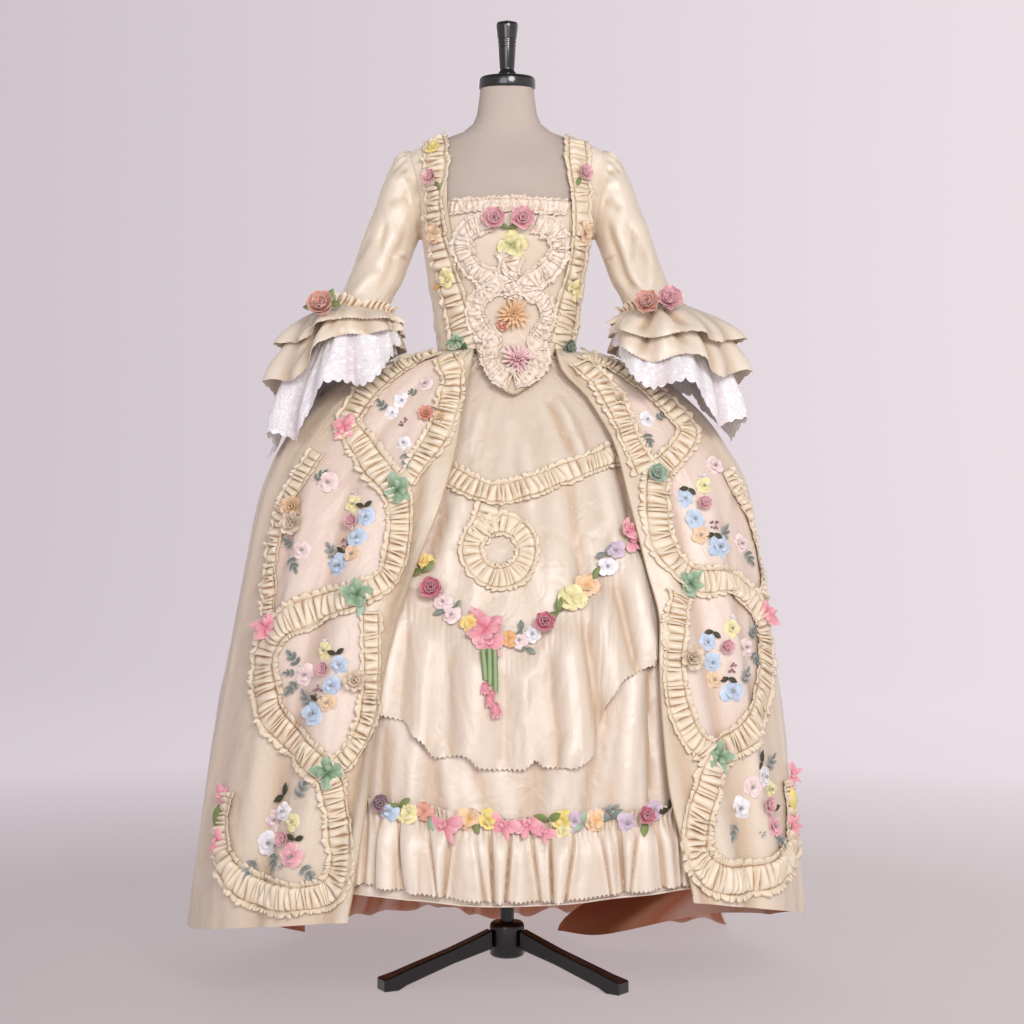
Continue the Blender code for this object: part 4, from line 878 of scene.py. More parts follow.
robingPaths = {
    "left": [
        (-0.126, 1.506), (-0.128, 1.45), (-0.128, 1.36), (-0.113, 1.28), (-0.093, 1.21), (-0.071, 1.133),
    ],
    "right": [(0.124, 1.506), (0.128, 1.45), (0.133, 1.36), (0.125, 1.28), (0.111, 1.21), (0.096, 1.135)],
}
for word, path in robingPaths.items():
    strip = gatheredStrip(bodiceBody, path, (0.046, 0.052, 0.068), rise=0.008, pleat=0.0112, fuss=1.9)
    trimPiece(f"robing_{word}", [strip])

robeTrims = {
    "left_serpentine": [
        (-0.128, 1.119), (-0.176, 1.104), (-0.235, 1.061), (-0.264, 1.026), (-0.277, 0.992),
        (-0.257, 0.962), (-0.23, 0.922), (-0.194, 0.878), (-0.183, 0.83), (-0.186, 0.775), (-0.204, 0.728),
        (-0.25, 0.701), (-0.322, 0.676), (-0.38, 0.648), (-0.411, 0.6), (-0.413, 0.54), (-0.395, 0.485),
        (-0.35, 0.442), (-0.3, 0.4), (-0.286, 0.35), (-0.277, 0.3), (-0.275, 0.25), (-0.292, 0.212),
        (-0.334, 0.198), (-0.39, 0.195), (-0.44, 0.205), (-0.475, 0.24), (-0.487, 0.289), (-0.48, 0.358),
    ],
    "left_top": [
        (-0.108, 1.112), (-0.097, 1.085), (-0.094, 1.06), (-0.1, 1.03), (-0.112, 0.992), (-0.133, 0.95),
        (-0.16, 0.912), (-0.174, 0.892),
    ],
    "left_side": [
        (-0.33, 0.946), (-0.362, 0.896), (-0.388, 0.85), (-0.404, 0.79), (-0.41, 0.734), (-0.411, 0.664),
    ],
    "left_low": [
        (-0.23, 0.672), (-0.229, 0.628), (-0.228, 0.59), (-0.227, 0.545), (-0.23, 0.5), (-0.245, 0.462),
        (-0.268, 0.43), (-0.286, 0.412),
    ],
    "right_serpentine": [
        (0.136, 1.117), (0.19, 1.098), (0.25, 1.058), (0.3, 1.01), (0.318, 0.98), (0.3, 0.948),
        (0.262, 0.905), (0.259, 0.85), (0.264, 0.795), (0.29, 0.75), (0.33, 0.722), (0.38, 0.72),
        (0.42, 0.694), (0.445, 0.65), (0.452, 0.59), (0.445, 0.524), (0.415, 0.466), (0.356, 0.424),
        (0.334, 0.368), (0.319, 0.32), (0.316, 0.275), (0.332, 0.243), (0.363, 0.224), (0.41, 0.218),
        (0.455, 0.224), (0.49, 0.245), (0.496, 0.29), (0.488, 0.37),
    ],
    "right_top": [
        (0.128, 1.104), (0.166, 1.066), (0.19, 1.026), (0.206, 0.99), (0.216, 0.96), (0.232, 0.93),
        (0.242, 0.908),
    ],
    "right_side": [
        (0.385, 0.914), (0.41, 0.866), (0.426, 0.826), (0.438, 0.78), (0.446, 0.72), (0.447, 0.69),
    ],
    "right_low": [
        (0.296, 0.7), (0.286, 0.65), (0.283, 0.61), (0.283, 0.56), (0.29, 0.51), (0.312, 0.46),
        (0.334, 0.438),
    ],
}
trimWidths = {
    # widths at even steps along the strip
    "left_serpentine": (0.048, 0.052, 0.056, 0.05, 0.066, 0.066, 0.054, 0.056, 0.062, 0.05),
    "right_serpentine": (0.046, 0.05, 0.052, 0.05, 0.06, 0.064, 0.056, 0.066, 0.066, 0.056),
    "left_side": 0.038, "right_side": 0.036, "left_low": 0.04,
}
for name, path in robeTrims.items():
    trimPiece(f"robe_trim_{name}", [gatheredStrip(robeBody, path, trimWidths.get(name, 0.046), fuss=1.5)])

swagPath = [
    (-0.112, 0.912), (-0.082, 0.894), (-0.05, 0.879), (-0.012, 0.872), (0.04, 0.884), (0.092, 0.904),
    (0.14, 0.922), (0.19, 0.94),
]
trimPiece("petticoat_swag", [gatheredStrip(petticoatBody, swagPath, 0.046)])
# the rosette is a coil that comes down from the swag
coil = [(math.radians(-38 - 30 * i), 0.0505 - 0.0006 * i) for i in range(14)]
ringPath = [(-0.028, 0.852)] + [(-0.011 + r * math.sin(a), 0.776 + r * math.cos(a)) for a, r in coil]
trimPiece("petticoat_rosette", [gatheredStrip(petticoatBody, ringPath, 0.046, rise=0.0066, pleat=0.0098)])
say("gathered trims")


# Sleeves, their frills, satin flounces and lace

sleeveSizes = SizeTable(
    "ring outerX outerZ innerX innerZ depth forward",
    (0, 0.18, 1.49, 0.1585, 1.33, 0.0465, 0.0), (1, 0.2, 1.474, 0.161, 1.323, 0.052, 0.002),
    (2, 0.222, 1.434, 0.166, 1.311, 0.055, 0.006), (3, 0.238, 1.386, 0.17, 1.298, 0.0545, 0.012),
    (4, 0.254, 1.345, 0.1765, 1.28, 0.052, 0.02), (5, 0.27, 1.292, 0.1865, 1.25, 0.05, 0.034),
    (6, 0.284, 1.252, 0.2, 1.225, 0.048, 0.047), (7, 0.304, 1.205, 0.2124, 1.193, 0.045, 0.062),
)
# soft folds, listed as (turn in degrees, ring) from and to, width in degrees and depth
sleeveFolds = {
    -1: (
        (-100, 0.3, -60, 2.6, 9, -0.0035), (-80, 0.2, -40, 2.0, 8, 0.0035), (-60, 0.2, -24, 1.7, 7, -0.003),
        (-125, 1.5, -112, 6.6, 11, -0.004), (-105, 2.4, -88, 5.2, 12, 0.003),
        (-70, 2.8, -86, 4.6, 9, -0.003), (-140, 3.2, -118, 4.4, 8, 0.003),
        (-50, 4.0, -20, 5.4, 12, -0.0025), (-95, 5.0, -60, 6.7, 10, 0.003), (95, 0.3, 70, 2.6, 9, -0.0035),
        (120, 1.4, 105, 5.6, 11, -0.004), (140, 3.0, 118, 4.6, 9, 0.0035), (60, 3.6, 90, 5.2, 10, -0.003),
        (30, 0.2, 20, 1.6, 8, -0.0025), (0, 0.2, 2, 1.5, 8, 0.0025), (160, 3.4, 130, 3.9, 14, -0.003),
        (-160, 3.6, -135, 4.0, 14, -0.003),
    ),
    1: (
        (-105, 0.3, -78, 2.4, 8, -0.004), (-84, 0.2, -52, 1.8, 7, 0.0035), (-64, 0.2, -34, 1.5, 7, -0.0035),
        (-118, 1.2, -122, 6.8, 10, -0.0065), (-100, 1.6, -106, 6.2, 9, 0.0045),
        (-78, 2.6, -58, 5.4, 12, -0.003), (-60, 3.4, -96, 4.8, 9, -0.003), (-40, 4.4, -76, 6.2, 10, 0.003),
        (-130, 5.2, -90, 6.8, 9, -0.003), (100, 0.3, 76, 2.6, 9, -0.0035),
        (124, 1.4, 108, 5.4, 11, -0.0045), (146, 3.0, 120, 4.6, 9, 0.0035), (64, 3.4, 92, 5.2, 10, -0.003),
        (34, 0.2, 24, 1.6, 8, -0.0025), (-12, 0.2, -6, 1.5, 8, 0.003), (162, 3.4, 132, 3.9, 14, -0.003),
        (-162, 3.6, -136, 4.0, 14, -0.003),
    ),
}


def sleevePoint(side, turn, ring, grow):
    turn, ring = np.broadcast_arrays(np.asarray(turn, float), np.asarray(ring, float))
    ox, oz, ix, iz, depth, forward = (sleeveSizes.at(n, ring) for n in sleeveSizes.columns)
    half = np.stack([(ox - ix) / 2, 0 * ox, (oz - iz) / 2], -1)
    centre = np.stack([(ox + ix) / 2, -forward, (oz + iz) / 2], -1)
    half = half * (1 + np.asarray(grow)[..., None] / np.linalg.norm(half, axis=-1, keepdims=True))
    point = centre + half * np.cos(turn)[..., None]
    point[..., 1] += (depth + grow) * np.sin(turn)
    point[..., 0] -= 0.003 * np.sin(turn) ** 2 * np.clip(1 - ring, 0, 1)
    point[..., 0] *= side
    return point


def sleeveRelief(side, turn, ring):
    degrees = (np.degrees(turn) + 180) % 360 - 180
    gathers = 0.0024 * np.cos(turn * 23) * np.clip(np.cos(turn), 0, 1) ** 0.7
    gathers = gathers * smooth(ring * 3) * smooth((1.7 - ring) / 1.2)
    return gathers + creaseRelief(degrees, ring, sleeveFolds[side], (3.5, 3.5), turned=True)


def clearOfRobe(points, gap):
    left, right, front, back = robeSizes.sizes(points[..., 2] - 0.006)
    wide = np.where(points[..., 0] < 0, left, right) + gap
    deep = np.where(points[..., 1] < 0, front, back) + gap
    level = (np.abs(points[..., 0]) / wide) ** roundness + (np.abs(points[..., 1]) / deep) ** roundness
    grow = np.maximum(1.0, np.maximum(level, 1e-9) ** (-1 / roundness))
    grow = mix(1.0, grow, smooth((waistHeight + 0.004 - points[..., 2]) / 0.02))
    moved = points.copy()
    moved[..., 0] *= grow
    moved[..., 1] *= grow
    return moved


class Ruffle:  # hangs from the end of a sleeve
    # quarters are (out, down) at its outer, back, inner and front
    def __init__(self, side, quarters, start, waves, swing, gap, fine=(0, 0.0), pinches=()):
        self.side, self.quarters, self.start, self.pinches = side, quarters, start, pinches
        self.waves, self.swing, self.gap, self.fine = waves, swing, gap, fine

    def point(self, turn, t):
        turn, t = np.broadcast_arrays(np.asarray(turn, float), np.asarray(t, float))
        out = down = 0.0
        for i, (reach, drop) in enumerate(self.quarters):
            share = np.maximum(0, np.cos(turn - i * np.pi / 2)) ** 2
            out, down = out + share * reach, down + share * drop
        ring = sleevePoint(self.side, turn, 7.0, self.start)
        sway = 0.35 * np.sin(2 * turn + 0.8) + 0.22 * np.sin(3 * turn + 2.0)
        gathers = self.swing * t * np.cos(self.waves * turn + sway)
        count, deep = self.fine
        small = deep * np.cos(count * turn + 2.5 * sway + 1.2 * t) * smooth(t * 3) * (0.35 + 0.65 * t)
        for top, low, width, depth in self.pinches:
            off = (np.degrees(turn) - mix(top, low, t) + 180) % 360 - 180
            small = small + depth * np.exp(-((off / width) ** 2)) * smooth(t * 7) * smooth((0.95 - t) / 0.5)
        down = down * (1 - 0.1 * np.cos(self.waves * turn + sway + 0.6))
        out = out * (1 - (1 - t) ** 1.6) + gathers + small
        away = np.stack([self.side * np.cos(turn), np.sin(turn), 0 * turn], -1)
        points = ring + away * out[..., None]
        points[..., 2] -= down * t
        return clearOfRobe(points, self.gap * (0.5 + 0.5 * t) + small * 0.4)

    def normal(self, turn, t, step=0.02):
        around = self.point(turn + step, t) - self.point(turn - step, t)
        down = self.point(turn, t + step) - self.point(turn, t - step)
        return unit(self.side * np.cross(down, around))


rosePinches = {
    # gathers drawn up under the roses: degrees round at the top and the hem, width, depth
    -1: ((307, 298, 4.6, -0.01), (322, 334, 4.6, -0.01)),
    1: ((268, 252, 4.6, -0.019), (276, 276, 4.6, 0.006), (285, 301, 4.6, -0.019)),
}
ruffleSizes = {
    "satin_flounce": {
        -1: (((0.106, 0.152), (0.085, 0.092), (0.01, 0.03), (0.032, 0.045)), 0.008, 6, 0.0115, 0.02),
        1: (((0.108, 0.13), (0.085, 0.092), (0.01, 0.032), (0.055, 0.09)), 0.008, 6, 0.0115, 0.02),
    },
    "satin_upper_flounce": {
        -1: (((0.082, 0.078), (0.068, 0.056), (0.009, 0.016), (0.032, 0.02)), 0.013, 6, 0.01, 0.028),
        1: (((0.094, 0.068), (0.07, 0.056), (0.009, 0.016), (0.056, 0.052)), 0.013, 6, 0.01, 0.028),
    },
    "lace_ruffle": {
        -1: (((0.103, 0.252), (0.066, 0.14), (0.006, 0.052), (0.046, 0.125)), 0.0035, 6, 0.012, 0.011),
        1: (((0.103, 0.222), (0.066, 0.14), (0.006, 0.052), (0.056, 0.13)), 0.0035, 6, 0.012, 0.011),
    },
}
ruffleLooks = {
    # finish, slot, rows, fine gathers and their swing, edge pitch and depth, wall
    "satin_flounce": (sleeveSatin, "satin", 16, (13, 0.006), 0.007, 0.003, 0.0008),
    "satin_upper_flounce": (sleeveSatin, "satin", 12, (13, 0.0075), 0.007, 0.003, 0.0008),
    "lace_ruffle": (lace, "lace", 18, (11, 0.008), 0.019, 0.008, 0.0004),
}


def sleeveGrid(side, maker, turns, downs):
    turn = np.arange(turns) * 2 * np.pi / turns
    return outward(maker(turn[None, :], downs[:, None]), side)


def sleevePieces():
    for side, word in sides.items():
        def tube(turn, ring):
            return sleevePoint(side, turn, ring, sleeveRelief(side, turn, ring))

        grid = sleeveGrid(side, tube, 92, np.linspace(0, 7, 66))
        head = grid[:1] * np.array([1, 0.93, 1]) - np.array([side * 0.013, 0, 0])
        clothSheet(
            f"sleeve_{word}", np.vstack([head, grid]), sleeveSatin, closed=True,
            lining=sleeveSatin,
        )

        def frill(turn, t):
            wave = 0.6 * np.cos(turn * 27 + 2.2 * np.sin(3 * turn))
            wave = wave + 0.5 * np.cos(turn * 41 + 2 * np.sin(2 * turn) + 3 * t)
            up, down = smooth(t * 2 - 1), smooth(1 - t * 2)
            loose = 0.01 + (0.0032 + 0.0034 * wave) * (up + down) + 0.0012 * wave
            swing = 0.025 * np.sin(turn * 31 + 4 * t) * (up + down)
            ring = 7.14 - (0.52 + 0.07 * np.sin(5 * turn)) * t - 0.05 * wave * (up - down)
            return sleevePoint(side, turn + swing, ring, loose)

        clothSheet(
            f"sleeve_frill_{word}", sleeveGrid(side, frill, 260, np.linspace(1, 0, 11)), trimSatin,
            slotName="trim", closed=True, lining=trimSatin, wall=0.0006,
        )
        for kind, (finish, slotName, rows, fine, pitch, depth, wall) in ruffleLooks.items():
            ruffle = Ruffle(side, *ruffleSizes[kind][side], fine, rosePinches[side])
            grid = sleeveGrid(side, ruffle.point, 250, np.linspace(0, 1, rows))
            clothSheet(
                f"{kind}_{word}", pinked(grid, pitch, depth, slotName == "lace"), finish,
                slotName=slotName, closed=True, lining=finish, wall=wall,
            )


sleevePieces()
say("sleeves")


# The open robe: fronts, sides and the sack back with its train

sackSizes = SizeTable(
    "row z half middle edge open",
    (0, 1.5, 0.098, 0.085, 0.07, 0.0), (1, 1.465, 0.1, 0.109, 0.099, 0.0),
    (2, 1.35, 0.106, 0.129, 0.114, 0.02), (3, 1.128, 0.126, 0.174, 0.154, 0.15),
    (4, 1.0, 0.152, 0.223, 0.206, 0.3), (5, 0.84, 0.195, 0.286, 0.264, 0.48),
    (6, 0.64, 0.253, 0.359, 0.322, 0.68), (7, 0.42, 0.323, 0.433, 0.37, 0.86),
    (8, 0.24, 0.375, 0.486, 0.393, 1.0), (9, 0.11, 0.407, 0.519, 0.414, 1.0),
    (10, 0.036, 0.427, 0.56, 0.454, 1.0), (11, 0.006, 0.442, 0.63, 0.51, 1.0),
    (12, 0.0, 0.45, 0.8, 0.67, 1.0), (13, 0.0, 0.41, 0.97, 0.76, 1.0),
)
boxPleats = (
    # folded place and layer, opened place and relief
    (1.0, 0, 1.0, 0.0), (0.78, 0, 0.86, 0.001), (0.78, 1, 0.8, -0.004), (0.96, 1, 0.7, 0.012),
    (0.96, 2, 0.63, 0.018), (0.54, 2.3, 0.42, 0.01), (0.12, 2, 0.22, 0.016), (0.12, 1, 0.17, 0.01),
    (0.29, 1, 0.11, -0.003), (0.29, 0, 0.06, -0.009), (0.0, 0, 0.0, -0.01),
)
pleatLayer = 0.0036
sideHem = SizeTable(
    "u left right", (0.0, 0.105, 0.132), (0.5, 0.075, 0.085), (0.8, 0.035, 0.045), (1.0, 0.004, 0.004),
)
sideFloor = {
    -1: SizeTable(
        "u x y pull", (0.0, 0.5, 0.1, 0), (0.7, 0.44, 0.32, 0), (0.85, 0.43, 0.39, 0.5),
        (1.0, 0.404, 0.445, 1),
    ),
    1: SizeTable(
        "u x y pull", (0.0, 0.53, 0.05, 0), (0.54, 0.46, 0.27, 0), (0.7, 0.36, 0.36, 0.9),
        (0.85, 0.185, 0.246, 1), (1.0, 0.1, 0.46, 1),
    ),
}
sidePull = {-1: 0.1, 1: 0.22}
sideFolds = (
    # place across at the waist and at the hem, width and depth
    (0.09, 0.1, 0.03, 0.007), (0.2, 0.23, 0.036, -0.0008), (0.31, 0.36, 0.032, 0.0095),
    (0.43, 0.46, 0.044, -0.009), (0.55, 0.6, 0.034, 0.01), (0.68, 0.71, 0.042, -0.0085),
    (0.8, 0.85, 0.032, 0.008),
)
frontHem = {-1: (0.163, 0.105), 1: (0.191, 0.132)}
sideSeam = math.radians(82)
seamGap = 0.0005  # a hair on either side, in radians
robeTop = waistHeight - 0.0003
floorLift = 0.0015
# creases of the train as (place across, row) from and to, width and depth
trainCreases = (
    (-0.78, 5, -0.9, 13.5, 0.05, 0.014), (-0.6, 6, -0.66, 13.5, 0.04, -0.012),
    (-0.4, 7, -0.36, 13.5, 0.045, 0.012), (-0.16, 6, -0.2, 13.5, 0.035, -0.012),
    (0.06, 7, 0.02, 13.5, 0.04, 0.014), (0.26, 6, 0.3, 13.5, 0.04, -0.01),
    (0.46, 7, 0.52, 13.5, 0.045, 0.012), (0.66, 6, 0.74, 13.5, 0.04, -0.012),
    (0.86, 5, 0.92, 13.5, 0.05, 0.01), (-0.52, 9.6, 0.0, 12.4, 0.03, 0.01),
    (0.56, 9.8, 0.1, 12.6, 0.03, 0.009),
)


def markPanels(piece, word):
    # the three upper fields inside the trims are a pinker silk
    curve, top, lower, low = (robeTrims[f"{word}_{n}"] for n in ("serpentine", "top", "side", "low"))
    first, second, third = ((0, 8), (4, 14), (11, 19)) if word == "left" else ((0, 7), (4, 13), (10, 18))
    fields = [curve[a:b] + other[::-1] for (a, b), other in zip((first, second, third), (top, lower, low))]
    x, z = np.array([(v.co.x - poleShift[0], v.co.z) for v in piece.data.vertices]).T
    inside = np.zeros(len(x), bool)
    for field in fields:
        odd = np.zeros(len(x), bool)
        for (ax, az), (bx, bz) in zip(field, field[1:] + field[:1]):
            crossing = (bx - ax) * (z - az) / (bz - az if bz != az else 1e-9) + ax
            odd ^= ((az > z) != (bz > z)) & (x < crossing)
        inside |= odd
    mark(piece, "panel", inside)


def robeFront(side, word):
    v = np.linspace(0, 1, 96)[:, None] ** 1.15
    u = np.linspace(0, 1, 56)[None, :]
    z = mix(robeTop, mix(*frontHem[side], u), v)
    edge = robeBody.frontAngle(robeEdges.at(word, z), z)
    angle = mix(edge, side * (sideSeam - seamGap), u)
    # the front edge rolls forward a little
    roll = 0.004 * np.exp(-((u / 0.035) ** 2)) * smooth((1.12 - z) / 0.2)
    points = robeBody.lifted(angle, z, roll)
    piece = clothSheet(
        f"robe_front_{word}", outward(points, side), gownSatin,
    )
    markPanels(piece, word)
    rim = points[:, 0] + robeBody.normal(angle[:, 0], z[:, 0]) * 0.0002
    cordPiece(f"robe_edge_{word}", rim[::2], 0.0012, pipingSilk)


def sideRelief(side, u, z):
    total = 0.0
    for top, low, width, depth in sideFolds:
        place = mix(low, top, smooth((z - 0.1) / 1.0)) + 0.015 * side
        total = total + depth * np.exp(-(((u - place) / width) ** 2))
    pleats = 0.003 * np.sin(u * 82 + 2 * np.sin(u * 13)) * smooth((z - 0.86) / 0.2)
    total = total * smooth((1.09 - z) / 0.45) + pleats * smooth((1.115 - z) / 0.03)
    return total * smooth(u * 9) * smooth((1 - u) * 9)


def robeSide(side, word):
    v = np.linspace(0, 1, 92)[:, None]
    u = np.linspace(0, 1, 58)[None, :]
    z = mix(robeTop, sideHem.at(word, u), v)
    hanging = slice(11, None, -1)
    half = np.interp(z, sackSizes.columns["z"][hanging], sackSizes.columns["half"][hanging])
    tucked = mix(0.92, 0.62, smooth((z - 0.9) / 0.22)) * half
    last = side * np.pi - robeBody.frontAngle(side * tucked, z)
    angle = mix(side * (sideSeam + seamGap), last, u)
    points = robeBody.lifted(angle, z, sideRelief(side, u, z))
    floor = sideFloor[side]
    pull = floor.at("pull", u) * smooth(1 - z / sidePull[side])
    points[..., 0] = mix(points[..., 0], side * floor.at("x", u), pull)
    points[..., 1] = mix(points[..., 1], floor.at("y", u), pull)
    clothSheet(
        f"robe_side_{word}", outward(points, side), gownSatin,
    )


def sackPoint(place, row):
    z, half, middle, edge = (sackSizes.at(n, row) for n in ("z", "half", "middle", "edge"))
    y = middle - (middle - edge) * np.abs(place) ** roundness
    return np.stack(np.broadcast_arrays(half * place, y, z + floorLift), -1)


def sackBack():
    spans = [np.linspace(a, b, n, endpoint=False) for a, b, n in ((0, 3, 26), (3, 8, 32), (8, 13, 32))]
    row = np.concatenate(spans + [[13.0]])[:, None]
    opened = sackSizes.at("open", row)
    table = np.array(boxPleats)
    index = np.arange(len(table), dtype=float)
    beside = [i + d for i in range(1, 10) for d in (-0.06, 0.06)]
    fine = np.unique(np.concatenate([np.linspace(0, 10, 49), beside]))
    folded = [np.interp(fine, index, table[:, k]) for k in (0, 1)]
    eased = SizeTable("i place relief", *[(i, r[2], r[3]) for i, r in enumerate(boxPleats)])
    spread = [eased.at(n, fine) for n in ("place", "relief")]
    place = mix(folded[0][None, :], spread[0][None, :], opened)
    rise = mix(folded[1][None, :] * pleatLayer, spread[1][None, :], opened)
    place = np.hstack([place, -place[:, -2::-1]])
    rise = np.hstack([rise, rise[:, -2::-1]])
    rise = rise + creaseRelief(place, row, trainCreases, (2.2, 6))
    step = 0.01
    across = sackPoint(place - step, row) - sackPoint(place + step, row)
    down = sackPoint(place, row + step) - sackPoint(place, row - step)
    points = sackPoint(place, row) + unit(np.cross(down, across)) * rise[..., None]
    points[..., 2] = np.maximum(points[..., 2], floorLift)
    clothSheet("sack_back", points, gownSatin)


for side, word in sides.items():
    robeFront(side, word)
    robeSide(side, word)
sackBack()
say("robe")


# The petticoat, its overlay and hem flounce

petticoatHem = SizeTable("x z", (-0.56, 0.228), (-0.22, 0.204), (0.0, 0.19), (0.24, 0.206), (0.54, 0.228))
overlaySizes = SizeTable(
    "x top hem",
    (-0.245, 0.765, 0.505), (-0.172, 0.716, 0.49), (-0.15, 0.708, 0.458), (-0.111, 0.69, 0.43),
    (-0.072, 0.664, 0.434), (-0.031, 0.636, 0.412), (0.027, 0.626, 0.41), (0.048, 0.636, 0.428),
    (0.069, 0.652, 0.414), (0.114, 0.69, 0.416), (0.139, 0.714, 0.44), (0.166, 0.745, 0.5),
    (0.206, 0.8, 0.562), (0.28, 0.85, 0.6),
)
flounceSizes = SizeTable(
    "x top hem",
    (-0.3, 0.352, 0.232), (-0.219, 0.347, 0.221), (-0.14, 0.339, 0.212), (-0.06, 0.327, 0.201),
    (0.022, 0.318, 0.198), (0.105, 0.322, 0.202), (0.188, 0.329, 0.21), (0.264, 0.334, 0.216),
    (0.345, 0.343, 0.222),
)
petticoatTop = 1.119
# folds of the overlay as (x, z) from and to, width and depth: gathers fan out from the garland
overlayFolds = (
    (-0.185, 0.715, -0.232, 0.4, 0.016, 0.008), (-0.16, 0.7, -0.192, 0.36, 0.013, -0.005),
    (-0.128, 0.685, -0.15, 0.34, 0.018, 0.0075), (-0.09, 0.66, -0.098, 0.34, 0.014, -0.0045),
    (-0.05, 0.64, -0.056, 0.32, 0.022, 0.006), (-0.008, 0.622, -0.004, 0.34, 0.016, -0.004),
    (0.03, 0.628, 0.044, 0.3, 0.02, 0.007), (0.066, 0.648, 0.092, 0.36, 0.013, -0.006),
    (0.096, 0.676, 0.132, 0.3, 0.018, 0.0085), (0.122, 0.7, 0.168, 0.38, 0.012, -0.008),
    (0.15, 0.722, 0.206, 0.42, 0.018, 0.0115), (0.178, 0.75, 0.238, 0.46, 0.011, -0.009),
    (0.205, 0.785, 0.268, 0.46, 0.015, 0.009),
)
# creases between the broad folds of the hem flounce: place, depth, slant
hemCreases = (
    (-0.27, 0.009, 0.1), (-0.228, 0.012, -0.06), (-0.177, 0.013, 0.1), (-0.132, 0.007, 0.22),
    (-0.088, 0.014, -0.12), (-0.056, 0.006, 0.2), (-0.029, 0.013, 0.06), (0.007, 0.014, -0.1),
    (0.04, 0.007, 0.16), (0.072, 0.013, 0.05), (0.113, 0.012, -0.16), (0.15, 0.007, 0.2),
    (0.187, 0.014, 0.08), (0.216, 0.008, -0.12), (0.245, 0.012, 0.1), (0.285, 0.01, 0.05),
    (0.322, 0.008, -0.06),
)


def petticoatPieces():
    angle = np.radians(np.linspace(-89.9, 89.9, 154))[None, :]
    v = np.linspace(0, 1, 56)[:, None] ** 1.1
    xAtHem = petticoatBody.point(angle, 0.2 + 0 * angle)[..., 0]
    z = mix(petticoatTop, petticoatHem.at("z", xAtHem), v)
    points = petticoatBody.point(angle, z)
    clothSheet("petticoat_front", points, skirtSatin)
    rim = points[-1, 30:-30] + np.array([0, -0.0004, 0.0006])
    cordPiece("petticoat_edge", rim, 0.0018, frillSatin)
    angle = np.radians(np.linspace(90.1, 269.9, 60))[None, :]
    z = mix(petticoatTop, 0.245, np.linspace(0, 1, 40)[:, None] ** 1.2)
    gathers = 0.006 * np.sin(angle * 21 + 1.3 * np.sin(angle * 5)) * smooth((1.08 - z) / 0.5)
    points = petticoatBody.lifted(angle, z + 0 * angle, gathers)
    clothSheet("petticoat_back", points, skirtSatin)


def shownShare(x, z):
    left, right = robeEdges.at("left", z), robeEdges.at("right", z)
    return smooth((x - left + 0.012) / 0.03) * smooth((right + 0.012 - x) / 0.03)


def overlayPiece():
    x = np.linspace(overlaySizes.key[0], overlaySizes.key[-1], 240)[None, :]
    t = np.linspace(0, 1, 24)[:, None]
    z = mix(overlaySizes.at("top", x), overlaySizes.at("hem", x), t)
    folds = creaseRelief(x, z, overlayFolds)
    gathers = 0.0022 * np.sin(x * 620 + 2 * np.sin(x * 70)) * smooth(t * 8) * smooth((0.3 - t) / 0.3)
    lift = 0.0035 + (0.0065 + folds + gathers) * smooth(t * 3.0) * mix(0.25, 1.0, shownShare(x, z))
    lift = np.maximum(lift, 0.0015)
    points = petticoatBody.lifted(petticoatBody.frontAngle(x, z), z, lift)
    clothSheet(
        "petticoat_overlay", pinked(points, 0.0085, 0.0055), skirtSatin,
        wall=0.0007,
    )


def hemFlounce():
    x = np.linspace(flounceSizes.key[0], flounceSizes.key[-1], 430)[None, :]
    t = np.linspace(-0.12, 1, 15)[:, None]
    top, hem = flounceSizes.at("top", x), flounceSizes.at("hem", x)
    crease = tilt = 0.0
    for at, depth, slant in hemCreases:
        off = x - at - slant * 0.1 * t
        crease = crease + depth * np.exp(-np.abs(off / 0.003) ** 1.3)
        after, before = (np.exp(-(((off + shift) / 0.01) ** 2)) for shift in (-0.01, 0.01))
        tilt = tilt + 0.35 * depth * np.sign(slant) * (after - before)
    swell = 0.003 * np.sin(x * 88 + 1.1 * np.sin(x * 31)) + tilt
    opening = smooth(t * 1.9 + 0.15)
    puckers = 0.0026 * np.sin(x * 640 + 3 * np.sin(x * 52)) * smooth((0.24 - t) / 0.3)
    head = smooth(-t * 12)
    heading = 0.004 * head * (1 + np.sin(x * 520 + 2 * np.sin(x * 40)))
    lift = (0.0135 + swell - crease) * opening + puckers + heading
    lift = 0.0042 + np.maximum(lift, 0.0012) * mix(0.3, 1.0, shownShare(x, t * 0 + 0.26))
    z = mix(top, hem, t) + (0.35 * (crease - swell) - 0.0015) * smooth(2 * t - 1)
    points = petticoatBody.lifted(petticoatBody.frontAngle(x, z), z, lift)
    clothSheet(
        "petticoat_hem_flounce", pinked(points, 0.0078, 0.005), skirtSatin,
        wall=0.0007,
    )


petticoatPieces()
overlayPiece()
hemFlounce()
say("petticoat")


# Ribbon flowers, leaves and beads. Each group is one piece, and every kind takes the same five values.

